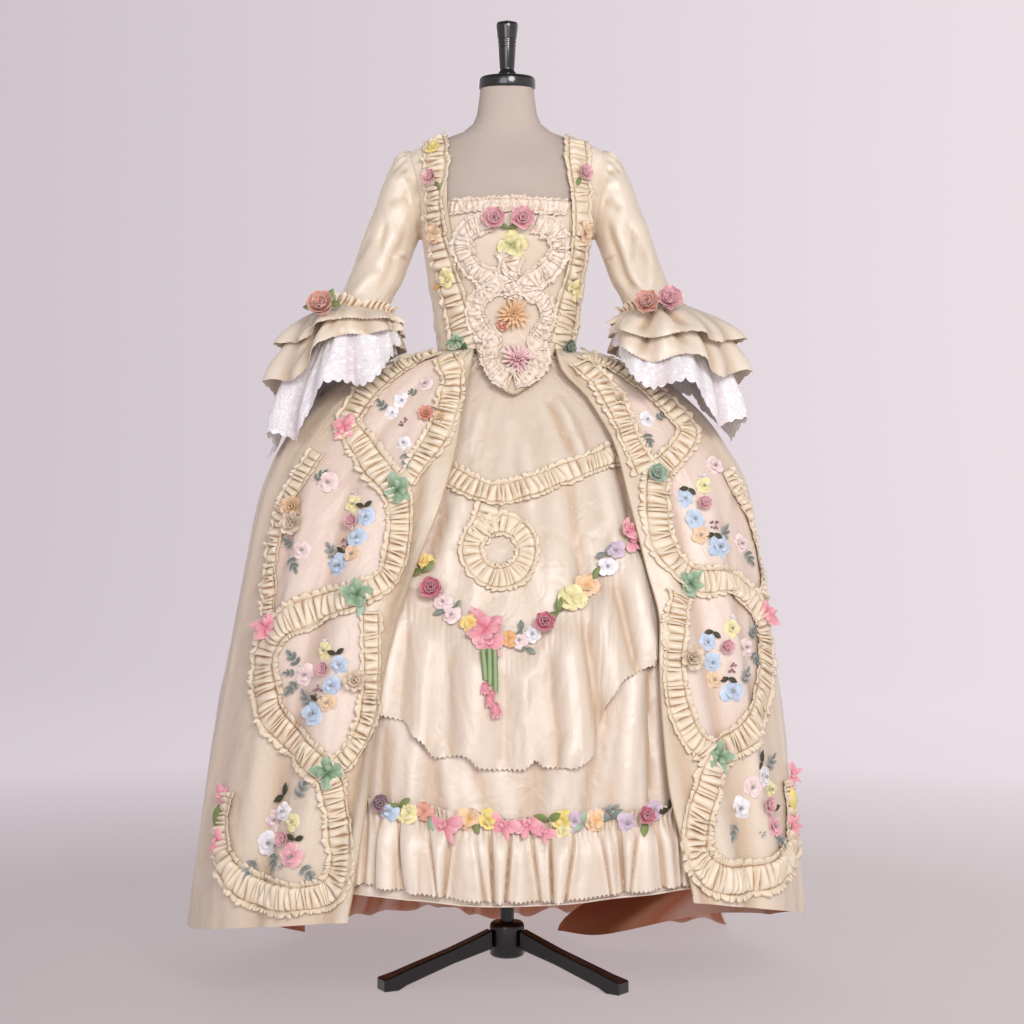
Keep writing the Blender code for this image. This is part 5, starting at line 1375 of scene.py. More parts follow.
palette = {
    "pink": rgb(244, 180, 186), "deepPink": rgb(222, 118, 138), "palePink": rgb(252, 226, 222),
    "peach": rgb(246, 212, 172), "coral": rgb(234, 168, 144), "yellow": rgb(248, 226, 132),
    "paleYellow": rgb(250, 240, 178), "orange": rgb(240, 186, 122), "mint": rgb(172, 200, 168),
    "deepGreen": rgb(74, 106, 62), "leaf": rgb(132, 148, 82), "darkLeaf": rgb(66, 62, 36),
    "blue": rgb(204, 222, 242), "white": rgb(252, 249, 251), "mauve": rgb(160, 108, 120),
    "beige": rgb(240, 220, 196), "silver": rgb(168, 174, 170), "lilac": rgb(218, 196, 212),
    "ink": rgb(96, 102, 98), "greyGreen": rgb(134, 150, 138),
}
petalShapes = {
    # share of the length, share of the width
    "round": ((0, 0.26), (0.22, 0.62), (0.5, 0.96), (0.78, 0.95), (0.93, 0.64), (1, 0.3)),
    "pointed": ((0, 0.34), (0.25, 0.82), (0.5, 1.0), (0.75, 0.74), (0.9, 0.36), (1, 0.04)),
    "slim": ((0, 0.5), (0.4, 0.95), (0.8, 0.85), (1, 0.2)),
}
ribbonWall = 0.0005


def petalGrid(shape, length, width, start=0.0, lift=0.2, curl=0.0, cup=0.0, fold=0.0, ruffle=0.0, foot=0.0):
    # a petal that leaves the middle along x, with z away from the cloth
    stops = np.array(petalShapes[shape])
    across = np.array([-1, 0, 1.0]) if shape == "slim" else np.array([-1, -0.76, 0, 0.76, 1.0])
    rise = lift + curl * stops[:, 0]
    step = np.diff(stops[:, 0], prepend=0) * length
    x, z = start + np.cumsum(step * np.cos(rise)), foot + np.cumsum(step * np.sin(rise))
    half = stops[:, 1:] * width / 2
    up = cup * half * across**2 - fold * half * np.abs(across)
    up = up + ruffle * width * np.sin(across * 4.6 + random.uniform(0, 6)) * stops[:, :1] ** 2
    sine, cosine = np.sin(rise)[:, None], np.cos(rise)[:, None]
    return np.stack([x[:, None] - up * sine, half * across, z[:, None] + up * cosine], -1)


def ribbonShell(grid, wall=ribbonWall):
    rows, columns = grid.shape[:2]
    normal = unit(np.cross(np.gradient(grid, axis=0), np.gradient(grid, axis=1)))
    points = np.vstack([grid.reshape(-1, 3), (grid - normal * wall).reshape(-1, 3)])
    top = gridFaces(rows, columns)
    n = rows * columns
    rim = [i * columns for i in range(rows)] + [(rows - 1) * columns + j for j in range(1, columns)]
    rim += [i * columns + columns - 1 for i in range(rows - 2, -1, -1)] + list(range(columns - 2, 0, -1))
    sideFaces = [(a + n, b + n, b, a) for a, b in zip(rim, rim[1:] + rim[:1])]
    return points, np.vstack([top, top[:, ::-1] + n, np.array(sideFaces)])


def pale(shade, share=0.5):
    return mix(np.array(shade), np.array(palette["white"]), share)


def petalTints(shape, shade, heart, edge):
    stops = np.array(petalShapes[shape])[:, 0]
    columns = 3 if shape == "slim" else 5
    share = (1 - stops[:, None, None]) ** 1.6
    tint = mix(np.array(shade), np.array(heart), share) * np.ones((1, columns, 1))
    if edge is not None:
        tint[1:, [0, -1]] = edge
        tint[-1] = edge
    flat = tint.reshape(-1, 3)
    # painted shade: the underside of each petal is a darker copy of its top
    return np.vstack([flat, flat * 0.8])


bpy.ops.mesh.primitive_ico_sphere_add(subdivisions=1, radius=1.0, location=(0, 0, 0))
beadModel = bpy.context.object
beadPoints = np.array([v.co[:] for v in beadModel.data.vertices])
beadFaces = np.array([list(p.vertices) for p in beadModel.data.polygons])
bpy.data.objects.remove(beadModel)


class Posy:
    def __init__(self):
        self.points, self.faces, self.tints, self.count = [], [], [], 0

    def add(self, points, faces, tints):
        self.points.append(points)
        self.faces += (np.asarray(faces) + self.count).tolist()
        self.tints.append(np.broadcast_to(tints, points.shape))
        self.count += len(points)

    def petal(self, spot, turn, shape, length, width, shade, heart, edge=None, **form):
        points, faces = ribbonShell(petalGrid(shape, length, width, **form))
        shade = np.array(shade) * random.uniform(0.9, 1.06)
        heart = shade * 0.74 if heart is None else heart
        self.add(spot(points, turn), faces, petalTints(shape, shade, heart, edge))

    def ball(self, spot, place, radius, shade):
        points = spot(beadPoints * radius + np.array(place), 0.0)
        self.add(points, beadFaces, np.array(shade) * random.uniform(0.85, 1.1))

    def finish(self, name, nodes=()):
        piece = newPiece(name, np.vstack(self.points), self.faces, [ribbonSilk])
        layer = piece.data.color_attributes.new("tint", "FLOAT_COLOR", "POINT")
        tints = np.clip(np.vstack(self.tints), 0, 1)
        layer.data.foreach_set("color", np.hstack([tints, np.ones((len(tints), 1))]).reshape(-1))
        showOnly(piece)
        bpy.ops.object.shade_smooth_by_angle(angle=math.radians(60))
        return wear(piece, "flowers", *nodes)


def standing(base, normal, spin):
    # turns a flower's own sizes into places on the gown
    normal = unit(np.asarray(normal, float))
    right = unit(np.cross(np.array([0.0, 0.0, 1.0]), normal))
    up = np.cross(normal, right)

    def spot(points, turn):
        a = turn + spin
        x = points[:, :1] * math.cos(a) - points[:, 1:2] * math.sin(a)
        y = points[:, :1] * math.sin(a) + points[:, 1:2] * math.cos(a)
        return base + x * right + y * up + points[:, 2:] * normal

    return spot


def ring(count, start=0.0, loose=0.14):
    return [start + 2 * math.pi * (i + random.uniform(-loose, loose)) / count for i in range(count)]


def blossom(posy, spot, size, shade, heart):
    # puffed petals of unequal size, smaller ones on top and a knot of beads in the middle
    for count, long, wide, lift in ((5, 0.54, 0.56, 0.4), (3, 0.3, 0.32, 0.95)):
        for turn in ring(count, random.uniform(0, 6), 0.14):
            grow = random.uniform(0.84, 1.12) * size
            posy.petal(
                spot, turn, "round", long * grow, wide * grow, shade, np.array(shade) * 0.7, pale(shade),
                start=size * 0.03, lift=lift + random.uniform(-0.12, 0.2), curl=-0.85, fold=0.34,
                ruffle=0.07, foot=0.0006,
            )
    for turn in ring(4):
        place = (0.04 * size * math.cos(turn), 0.04 * size * math.sin(turn), size * 0.17)
        posy.ball(spot, place, size * 0.045, heart or palette["silver"])


def rose(posy, spot, size, shade, heart):
    # gathered ribbon rose, each ring of petals steeper than the one outside it and painted darker, as painted
    # shade deep in the rose
    rings = (
        (6, 0.52, 0.5, 0.25, 0.7, 0.0), (6, 0.38, 0.42, 0.7, 0.55, 0.07), (5, 0.28, 0.34, 1.05, 0.3, 0.11),
        (3, 0.2, 0.26, 1.3, 0.05, 0.14),
    )
    for i, (count, long, wide, lift, curl, foot) in enumerate(rings):
        for turn in ring(count, 0.7 * i):
            posy.petal(
                spot, turn, "round", size * long, size * wide, pale(shade, 0.1),
                heart or np.array(shade) * (0.9 - 0.05 * i), pale(shade, 0.35), start=size * 0.03,
                lift=lift + random.uniform(-0.1, 0.1), curl=curl, cup=0.45, ruffle=0.075, foot=size * foot,
            )


def folded(posy, spot, size, shade, heart):
    # broad ruffled folds of ribbon round a darker middle
    for layer, (count, long, lift) in enumerate(((4, 0.5, 0.45), (3, 0.32, 0.95))):
        for turn in ring(count, random.uniform(0, 6), 0.16):
            posy.petal(
                spot, turn, "round", size * long * random.uniform(0.85, 1.15), size * (0.6 - 0.2 * layer),
                shade, heart, pale(shade, 0.3), start=size * 0.01, lift=lift + random.uniform(-0.1, 0.2),
                curl=-0.8, fold=0.38, ruffle=0.1, foot=0.001 + 0.001 * layer,
            )


def lily(posy, spot, size, shade, heart):
    # knotted ribbon: long folded petals below, shorter loops above
    dark = heart or np.array(shade) * 0.55
    for turn in ring(5, 0.5, 0.36):
        posy.petal(
            spot, turn, "pointed", size * random.uniform(0.4, 0.66), size * 0.42, shade, dark,
            pale(shade, 0.25), lift=random.uniform(0.35, 0.85), curl=-0.65, fold=0.75, ruffle=0.06,
            foot=0.001,
        )
    for turn in ring(4, 1.1, 0.22):
        posy.petal(
            spot, turn, "round", size * random.uniform(0.26, 0.36), size * 0.25, np.array(shade) * 0.95,
            dark, None, lift=1.0, curl=-1.1, fold=0.6, ruffle=0.08, foot=0.002,
        )


def bow(posy, spot, size, shade, heart):
    # two pairs of loops to the sides, two tails below and a small knot
    dark = heart or np.array(shade) * 0.6
    for turn, long, wide in ((0.15, 0.55, 0.34), (3.0, 0.52, 0.36), (-0.35, 0.42, 0.26), (3.5, 0.44, 0.28)):
        posy.petal(
            spot, turn, "round", size * long, size * wide, shade, dark, pale(shade, 0.3), lift=0.65,
            curl=-1.0, fold=0.45, ruffle=0.05, foot=0.001,
        )
    for turn, long in ((-1.0, 0.58), (-2.05, 0.5)):
        posy.petal(
            spot, turn, "pointed", size * long, size * 0.22, shade, dark, None, lift=0.3, curl=-0.3,
            fold=0.5, ruffle=0.06, foot=0.001,
        )
    for turn in ring(3):
        posy.petal(
            spot, turn, "round", size * 0.13, size * 0.16, shade, dark, None, lift=1.1, curl=-1.2,
            foot=0.003,
        )


def carnation(posy, spot, size, shade, heart):
    # fringed flower of many narrow loops
    for count, long, lift, foot in (
        (16, 0.5, 0.12, 0.0), (13, 0.4, 0.42, 0.04), (10, 0.28, 0.8, 0.07), (6, 0.17, 1.15, 0.09),
    ):
        for turn in ring(count, random.uniform(0, 1), 0.3):
            posy.petal(
                spot, turn, "slim", size * long * random.uniform(0.82, 1.12), size * 0.085, shade, heart,
                start=size * 0.02, lift=lift + random.uniform(-0.12, 0.12), curl=0.15, fold=-0.6,
                foot=size * foot,
            )


def ruched(posy, spot, size, shade, heart):
    # a crumpled scrap of gathered ribbon
    for count, long, lift, foot in ((7, 0.5, 0.25, 0.0), (6, 0.36, 0.7, 0.05), (4, 0.24, 1.1, 0.08)):
        for turn in ring(count, random.uniform(0, 1), 0.2):
            posy.petal(
                spot, turn, "round", size * long, size * 0.34, shade, heart, start=size * 0.02, lift=lift,
                curl=0.3, cup=0.3, ruffle=0.11, foot=size * foot,
            )


def leafPair(posy, spot, size, shade, heart):
    for turn in (0.35, math.pi - 0.5):
        posy.petal(
            spot, turn, "pointed", size * 0.74, size * 0.44, shade, np.array(shade) * 0.6,
            pale(shade, 0.12), start=size * 0.02, lift=0.4, curl=-0.6, fold=0.5, ruffle=0.05, foot=0.001,
        )


def leaf(posy, spot, size, shade, heart):
    posy.petal(
        spot, 0.0, "pointed", size, size * 0.5, shade, np.array(shade) * 0.7, np.array(shade) * 0.45,
        start=-size * 0.5, lift=0.3, curl=-0.45, fold=0.35, foot=0.001,
    )


def sprig(posy, spot, size, shade, heart):
    # beaded leaves along a wire
    for turn, far, long in (
        (0.0, 0.3, 0.42), (0.75, 0.05, 0.4), (-0.75, 0.05, 0.4), (1.0, -0.25, 0.36), (-1.0, -0.25, 0.36),
    ):
        grid = petalGrid(
            "pointed", size * long * 1.15, size * 0.26, lift=0.35, curl=-0.5, fold=0.5, foot=0.001,
        )
        points, faces = ribbonShell(grid)
        a = math.cos(turn), math.sin(turn)
        moved = points.copy()
        moved[:, 0] = points[:, 0] * a[0] - points[:, 1] * a[1] + size * far
        moved[:, 1] = points[:, 0] * a[1] + points[:, 1] * a[0]
        green = np.array(shade) * random.uniform(0.75, 1.0)
        posy.add(spot(moved, 0.0), faces, petalTints("pointed", green, palette["ink"], pale(shade, 0.45)))
    for i in range(6):
        posy.ball(spot, (size * (-0.45 + 0.13 * i), 0.0, 0.0022), size * 0.035, palette["silver"])


def beads(posy, spot, size, shade, heart):
    for _ in range(9):
        turn, far = random.uniform(0, 6.3), size * 0.45 * math.sqrt(random.random())
        posy.ball(spot, (far * math.cos(turn), far * math.sin(turn), 0.0012), size * 0.11, shade)


def tulip(posy, spot, size, shade, heart):
    # a bud on a green stalk; it points along x
    posy.petal(
        spot, 0.0, "slim", size * 0.9, size * 0.1, palette["mint"], palette["leaf"], start=-size * 0.9,
        lift=0.05, foot=0.001,
    )
    for turn, wide in ((0.0, 0.36), (0.35, 0.28), (-0.35, 0.28)):
        posy.petal(
            spot, turn, "pointed", size * 0.72, size * wide, shade, palette["deepPink"], start=-size * 0.05,
            lift=0.3, curl=-0.25, cup=0.7, foot=0.0015,
        )


flowerKinds = {
    "blossom": blossom, "rose": rose, "folded": folded, "lily": lily, "bow": bow, "carnation": carnation,
    "ruched": ruched, "leafPair": leafPair, "leaf": leaf, "sprig": sprig, "beads": beads, "tulip": tulip,
}


def flowerGroup(name, body, lift, rows, nodes=(), ahead=0.0):
    # rows of kind, x, z, size, shade and spin in degrees; ahead turns them towards the front
    posy = Posy()
    for i, (kind, x, z, size, shade, *rest) in enumerate(rows):
        angle = body.frontAngle(x, z)
        base = body.lifted(angle, z, lift + 0.0005 * (i % 3))
        faces = body.normal(angle, z) + np.array([0, -ahead, 0])
        spot = standing(base, faces, math.radians(rest[0] if rest else random.uniform(0, 360)))
        flowerKinds[kind](posy, spot, size, palette[shade], palette[rest[1]] if len(rest) > 1 else None)
    return posy.finish(name, nodes)


stomacherFlowers = (
    ("rose", -0.0215, 1.35, 0.048, "pink"), ("rose", 0.0265, 1.35, 0.048, "pink"),
    ("leafPair", 0.002, 1.334, 0.026, "leaf", 0), ("folded", 0.01, 1.306, 0.05, "paleYellow", 45, "leaf"),
    ("carnation", 0.011, 1.188, 0.06, "peach", 0, "orange"), ("ruched", -0.006, 1.17, 0.026, "coral"),
    ("carnation", 0.018, 1.106, 0.06, "palePink", 0, "deepPink"),
)
flowerGroup("stomacherPosy", stomacherBody, 0.0045, stomacherFlowers, ["stomacher_flowers"])
robingFlowers = {
    "left": (
        ("folded", -0.13, 1.484, 0.026, "yellow"), ("rose", -0.129, 1.428, 0.032, "pink"),
        ("leaf", -0.118, 1.412, 0.02, "leaf", -60), ("folded", -0.123, 1.332, 0.04, "peach"),
        ("folded", -0.103, 1.254, 0.036, "paleYellow"), ("leaf", -0.118, 1.24, 0.022, "orange", 200),
        ("lily", -0.086, 1.142, 0.04, "mint", 150, "deepGreen"),
        ("leaf", -0.076, 1.136, 0.03, "deepGreen", -35),
    ),
    "right": (
        ("rose", 0.131, 1.436, 0.034, "pink"), ("leaf", 0.122, 1.42, 0.02, "leaf", 240),
        ("folded", 0.133, 1.337, 0.04, "peach"), ("lily", 0.114, 1.236, 0.038, "paleYellow"),
        ("leaf", 0.12, 1.218, 0.024, "beige", -40), ("rose", 0.1, 1.134, 0.03, "deepGreen"),
        ("leafPair", 0.106, 1.124, 0.026, "greyGreen", 0),
    ),
}
for word, rows in robingFlowers.items():
    flowerGroup(f"robingPosy_{word}", bodiceBody, 0.0075, rows)

cuffRoses = {
    # turn round the cuff in degrees, share down the upper flounce, size, shade
    -1: (
        ("leafPair", 322, 0.2, 0.046, "leaf"), ("rose", 314, 0.36, 0.058, "coral"),
        ("leaf", 300, 0.3, 0.026, "leaf"),
    ),
    1: (
        ("leafPair", 274, 0.1, 0.044, "leaf"), ("rose", 260, 0.14, 0.054, "coral"),
        ("rose", 291, 0.08, 0.054, "pink"),
    ),
}
for side, word in sides.items():
    quarters, start, _, _, gap = ruffleSizes["satin_upper_flounce"][side]
    plain = Ruffle(side, quarters, start, 0, 0.0, gap)
    posy = Posy()
    for kind, degrees, share, size, shade in cuffRoses[side]:
        turn = math.radians(degrees)
        normal = plain.normal(turn, share)
        base = plain.point(turn, share) + normal * 0.01 + np.array([0, -0.006, 0])
        faces = normal + np.array([0, -1.5, 0])
        flowerKinds[kind](posy, standing(base, faces, random.uniform(0, 6)), size, palette[shade], None)
    posy.finish(f"cuffPosy_{word}", [f"cuff_roses_{word}"])

garlandFlowers = (
    ("folded", -0.142, 0.753, 0.034, "yellow", 20, "orange"),
    ("leafPair", -0.142, 0.733, 0.036, "leaf", 30), ("rose", -0.127, 0.708, 0.044, "deepPink"),
    ("blossom", -0.106, 0.686, 0.032, "palePink"), ("leaf", -0.114, 0.668, 0.02, "greyGreen", 200),
    ("blossom", -0.09, 0.664, 0.032, "palePink"), ("leafPair", -0.084, 0.676, 0.02, "greyGreen", 40),
    ("folded", -0.062, 0.65, 0.034, "yellow", 10, "orange"),
    ("lily", -0.034, 0.64, 0.07, "pink", 30, "deepPink"),
    ("bow", -0.03, 0.62, 0.058, "pink", 0, "deepPink"), ("folded", 0.003, 0.625, 0.032, "orange", 0),
    ("blossom", 0.02, 0.622, 0.03, "palePink"), ("leafPair", 0.026, 0.64, 0.022, "greyGreen", 80),
    ("leafPair", 0.034, 0.61, 0.024, "greyGreen", 170), ("blossom", 0.044, 0.632, 0.032, "white"),
    ("rose", 0.066, 0.65, 0.042, "deepPink"), ("leafPair", 0.086, 0.668, 0.04, "leaf", 60),
    ("folded", 0.106, 0.693, 0.052, "paleYellow", 15),
    ("folded", 0.137, 0.712, 0.044, "peach", 30, "orange"), ("leaf", 0.153, 0.734, 0.026, "leaf", 60),
    ("blossom", 0.172, 0.744, 0.034, "white"), ("leafPair", 0.17, 0.766, 0.024, "greyGreen", 40),
    ("blossom", 0.184, 0.772, 0.03, "lilac"), ("lily", 0.203, 0.806, 0.048, "pink", 70, "deepPink"),
    ("bow", 0.206, 0.786, 0.046, "pink", 70, "deepPink"),
)
flowerGroup("petticoatGarland", petticoatBody, 0.011, garlandFlowers, ["petticoat_garland"])
hemFlowers = (
    ("rose", -0.213, 0.354, 0.036, "mauve"), ("blossom", -0.19, 0.343, 0.032, "blue"),
    ("leafPair", -0.175, 0.35, 0.03, "leaf", 20), ("folded", -0.159, 0.34, 0.036, "paleYellow", 50),
    ("folded", -0.139, 0.342, 0.036, "coral", 10), ("leafPair", -0.127, 0.333, 0.034, "mint", 140),
    ("bow", -0.099, 0.324, 0.07, "pink", 0, "deepPink"),
    ("folded", -0.061, 0.331, 0.042, "peach", 30, "orange"), ("leaf", -0.05, 0.318, 0.024, "leaf", -70),
    ("folded", -0.034, 0.328, 0.038, "yellow", 10), ("bow", -0.002, 0.326, 0.056, "pink", -20, "deepPink"),
    ("bow", 0.034, 0.32, 0.06, "pink", 15, "deepPink"),
    ("bow", 0.064, 0.314, 0.044, "pink", -30, "deepPink"), ("leafPair", 0.072, 0.331, 0.034, "leaf", 10),
    ("folded", 0.091, 0.331, 0.034, "yellow", 40), ("folded", 0.094, 0.312, 0.028, "paleYellow", 0),
    ("blossom", 0.11, 0.328, 0.032, "lilac"), ("leafPair", 0.123, 0.323, 0.028, "mint", 60),
    ("folded", 0.144, 0.326, 0.04, "peach", 0, "orange"), ("sprig", 0.166, 0.34, 0.032, "silver", 30),
    ("leafPair", 0.176, 0.33, 0.032, "greyGreen", 20), ("blossom", 0.198, 0.325, 0.034, "lilac"),
    ("rose", 0.224, 0.334, 0.036, "deepPink"), ("leaf", 0.224, 0.312, 0.028, "leaf", -100),
    ("blossom", 0.248, 0.341, 0.032, "lilac"), ("leafPair", 0.264, 0.342, 0.028, "darkLeaf", 40),
)
flowerGroup("hemGarland", petticoatBody, 0.0115, hemFlowers, ["hem_garland"])

# three loops of green ribbon end in pink buds
posy = Posy()
tasselLoops = (
    ((-0.04, 0.606), (-0.036, 0.556)), ((-0.03, 0.608), (-0.029, 0.548)), ((-0.021, 0.606), (-0.02, 0.536)),
)
for (topX, topZ), (endX, endZ) in tasselLoops:
    z = np.linspace(topZ, endZ, 7)[:, None]
    x = mix(topX, endX, (topZ - z) / (topZ - endZ)) + np.array([0.0042, 0.0015, -0.0015, -0.0042])[None, :]
    lift = 0.0175 + 0.002 * np.sin((z - endZ) * 60) + np.array([0.0, 0.0012, 0.0012, 0.0])[None, :]
    loop = petticoatBody.lifted(petticoatBody.frontAngle(x, z), z + 0 * x, lift)
    points, faces = ribbonShell(loop[:, ::-1], 0.0006)
    atEdge = (np.arange(len(points)) % 4)[:, None] % 3 == 0
    tint = np.where(atEdge, np.array(palette["deepGreen"]), np.array(rgb(150, 172, 120)))
    posy.add(points, faces, tint)
tasselBuds = (
    (-0.037, 0.545, 0.026, -92), (-0.03, 0.526, 0.03, -84), (-0.021, 0.51, 0.034, -78),
    (-0.026, 0.534, 0.02, -100),
)
for x, z, size, spin in tasselBuds:
    angle = petticoatBody.frontAngle(x, z)
    base = petticoatBody.lifted(angle, z, 0.0175)
    spot = standing(base, petticoatBody.normal(angle, z), math.radians(spin))
    for turn, wide in ((0.0, 0.42), (0.45, 0.34), (-0.45, 0.34)):
        posy.petal(
            spot, turn, "pointed", size * 0.85, size * wide, palette["pink"], palette["deepPink"],
            start=-size * 0.3, lift=0.3, curl=-0.3, cup=0.7,
        )
posy.finish("garlandTassel", ["garland_tassel"])

sprayPattern = (
    # kind, across and up from the large blue flower, size, shade, spin
    ("blossom", 0.022, 0.105, 0.029, "paleYellow"), ("beads", 0.024, 0.121, 0.013, "white"),
    ("leafPair", 0.046, 0.1, 0.022, "darkLeaf", 15), ("blossom", 0.05, 0.083, 0.03, "blue"),
    ("rose", 0.024, 0.074, 0.029, "pink"), ("blossom", 0.036, 0.048, 0.032, "blue"),
    ("beads", 0.009, 0.038, 0.02, "mauve"), ("blossom", 0.028, 0.02, 0.03, "peach"),
    ("leafPair", 0.01, 0.022, 0.022, "darkLeaf", 0), ("blossom", 0.0, 0.0, 0.042, "blue"),
    ("sprig", -0.016, 0.021, 0.03, "silver", 122),
)
sprayPlaces = {
    # place of the blue flower, direction, lean, and the pink flower with its leaves
    "left_upper": (-0.288, 0.748, 1, 0.02, (
        ("blossom", -0.308, 0.89, 0.034, "palePink"), ("blossom", -0.347, 0.774, 0.034, "palePink"),
        ("leafPair", -0.262, 0.806, 0.02, "beige", 90), ("sprig", -0.372, 0.784, 0.024, "greyGreen", 150),
        ("sprig", -0.362, 0.752, 0.03, "greyGreen", -60), ("sprig", -0.322, 0.9, 0.026, "greyGreen", 40),
    )),
    "left_middle": (-0.323, 0.5, 1, -0.05, (
        ("blossom", -0.346, 0.563, 0.034, "palePink"), ("sprig", -0.362, 0.588, 0.03, "greyGreen", 130),
        ("sprig", -0.368, 0.566, 0.02, "greyGreen", 180),
        ("sprig", -0.366, 0.543, 0.028, "greyGreen", -130),
    )),
    "right_upper": (0.361, 0.78, -1, 0.01, (
        ("blossom", 0.362, 0.92, 0.034, "palePink"), ("blossom", 0.41, 0.785, 0.032, "palePink"),
        ("sprig", 0.422, 0.762, 0.028, "greyGreen", -60),
    )),
    "right_middle": (0.382, 0.535, -1, -0.18, (
        ("blossom", 0.413, 0.606, 0.034, "palePink"), ("sprig", 0.426, 0.628, 0.026, "greyGreen", 50),
        ("sprig", 0.428, 0.588, 0.026, "greyGreen", -50),
    )),
}
sprays = {
    "left_lower": (
        ("leafPair", -0.381, 0.361, 0.03, "darkLeaf", 60), ("sprig", -0.34, 0.373, 0.036, "silver", 60),
        ("blossom", -0.375, 0.336, 0.034, "white"), ("blossom", -0.4, 0.319, 0.034, "palePink"),
        ("blossom", -0.354, 0.321, 0.028, "paleYellow"), ("blossom", -0.41, 0.281, 0.042, "white"),
        ("rose", -0.37, 0.292, 0.032, "pink"), ("leafPair", -0.348, 0.292, 0.024, "darkLeaf", 0),
        ("blossom", -0.353, 0.265, 0.04, "pink"), ("sprig", -0.434, 0.24, 0.036, "silver", -120),
        ("sprig", -0.393, 0.256, 0.03, "greyGreen", -90), ("sprig", -0.33, 0.242, 0.034, "silver", -50),
        ("beads", -0.373, 0.247, 0.014, "silver"),
    ),
    "right_lower": (
        ("leafPair", 0.437, 0.408, 0.03, "darkLeaf", 60), ("sprig", 0.457, 0.404, 0.032, "silver", 50),
        ("blossom", 0.438, 0.385, 0.034, "white"), ("blossom", 0.416, 0.371, 0.034, "palePink"),
        ("blossom", 0.457, 0.361, 0.028, "paleYellow"), ("blossom", 0.402, 0.337, 0.042, "white"),
        ("rose", 0.437, 0.338, 0.032, "pink"), ("leafPair", 0.46, 0.326, 0.024, "darkLeaf", 0),
        ("blossom", 0.452, 0.301, 0.04, "pink"), ("sprig", 0.386, 0.301, 0.034, "silver", -120),
        ("sprig", 0.468, 0.277, 0.034, "silver", -50), ("beads", 0.43, 0.292, 0.014, "silver"),
    ),
}
for name, (x, z, way, lean, others) in sprayPlaces.items():
    rows = []
    for kind, dx, dz, size, shade, *spin in sprayPattern:
        spin = [90 - way * (90 - a) for a in spin]
        rows.append((kind, x + way * (dx + lean * dz), z + dz, size, shade, *spin))
    sprays[name] = (*rows, *others)
for name, rows in sprays.items():
    flowerGroup(f"sprayOf_{name}", robeBody, 0.0032, rows, [f"spray_{name}"], ahead=0.45)
topSprays = {
    "left": (
        ("blossom", -0.143, 1.064, 0.03, "palePink"), ("blossom", -0.185, 1.034, 0.028, "white"),
        ("blossom", -0.201, 1.012, 0.024, "white"), ("blossom", -0.178, 0.959, 0.028, "white"),
        ("ruched", -0.141, 1.01, 0.03, "coral"), ("ruched", -0.116, 1.001, 0.026, "peach"),
        ("beads", -0.18, 0.996, 0.018, "mauve"), ("sprig", -0.216, 1.024, 0.026, "greyGreen", 130),
        ("sprig", -0.174, 0.932, 0.03, "silver", -80), ("sprig", -0.165, 1.048, 0.022, "greyGreen", 160),
    ),
    "right": (
        ("blossom", 0.245, 1.001, 0.028, "white"), ("sprig", 0.268, 1.006, 0.024, "greyGreen", 30),
        ("sprig", 0.246, 0.968, 0.028, "greyGreen", -80), ("beads", 0.252, 1.044, 0.016, "mauve"),
        ("ruched", 0.2, 1.038, 0.03, "beige"),
    ),
}
for word, rows in topSprays.items():
    flowerGroup(f"topSpray_{word}", robeBody, 0.001, rows)
ribbonBows = {
    "left": (
        ("lily", -0.188, 0.874, 0.058, "mint", 30, "deepGreen"),
        ("lily", -0.281, 0.985, 0.052, "pink", 10, "deepPink"),
        ("lily", -0.249, 0.698, 0.054, "mint", 60, "deepGreen"),
        ("leaf", -0.244, 0.674, 0.028, "mint", -100), ("lily", -0.409, 0.64, 0.052, "pink", 50, "deepPink"),
        ("lily", -0.296, 0.403, 0.052, "mint", 20, "deepGreen"),
        ("bow", -0.488, 0.35, 0.04, "pink", 100, "deepPink"), ("leaf", -0.492, 0.316, 0.04, "leaf", 80),
        ("bow", -0.488, 0.274, 0.046, "pink", 70, "deepPink"), ("ruched", -0.368, 0.846, 0.042, "peach"),
        ("ruched", -0.362, 0.818, 0.046, "beige"), ("ruched", -0.254, 0.556, 0.04, "beige"),
    ),
    "right": (
        ("rose", 0.253, 0.902, 0.04, "mint"), ("lily", 0.313, 0.716, 0.054, "mint", 20, "deepGreen"),
        ("lily", 0.447, 0.662, 0.05, "pink", 50, "deepPink"),
        ("lily", 0.351, 0.427, 0.052, "mint", 60, "deepGreen"),
        ("bow", 0.488, 0.378, 0.044, "pink", 80, "deepPink"), ("leaf", 0.49, 0.338, 0.04, "yellow", 95),
        ("bow", 0.492, 0.292, 0.04, "pink", 110, "deepPink"), ("ruched", 0.304, 0.592, 0.046, "beige"),
    ),
}
for word, rows in ribbonBows.items():
    flowerGroup(f"ribbonBows_{word}", robeBody, 0.007, rows, ahead=1.0)
say("flowers")


# The room, the light and the camera

roomSizes = {"radius": 8.0, "height": 5.2, "sweep": 2.0, "sides": 96, "steps": 14}
cameraPlace = {"at": (0.027, -4.4972, 0.84), "lens": 82.03}
lamps = {
    # place, aimed at, size, power, colour
    "keyLight": ((1.5, -5.0, 2.9), (0.0, -0.3, 1.25), 2.0, 128, (1.0, 0.99, 0.98)),
    "frontLight": ((-1.3, -6.0, 2.2), (0.0, -0.2, 1.2), 3.0, 76, (0.98, 0.98, 1.0)),
    "backLight": ((-1.6, 5.0, 3.2), (0.0, 0.3, 0.9), 3.0, 26, (1.0, 0.99, 0.98)),
}


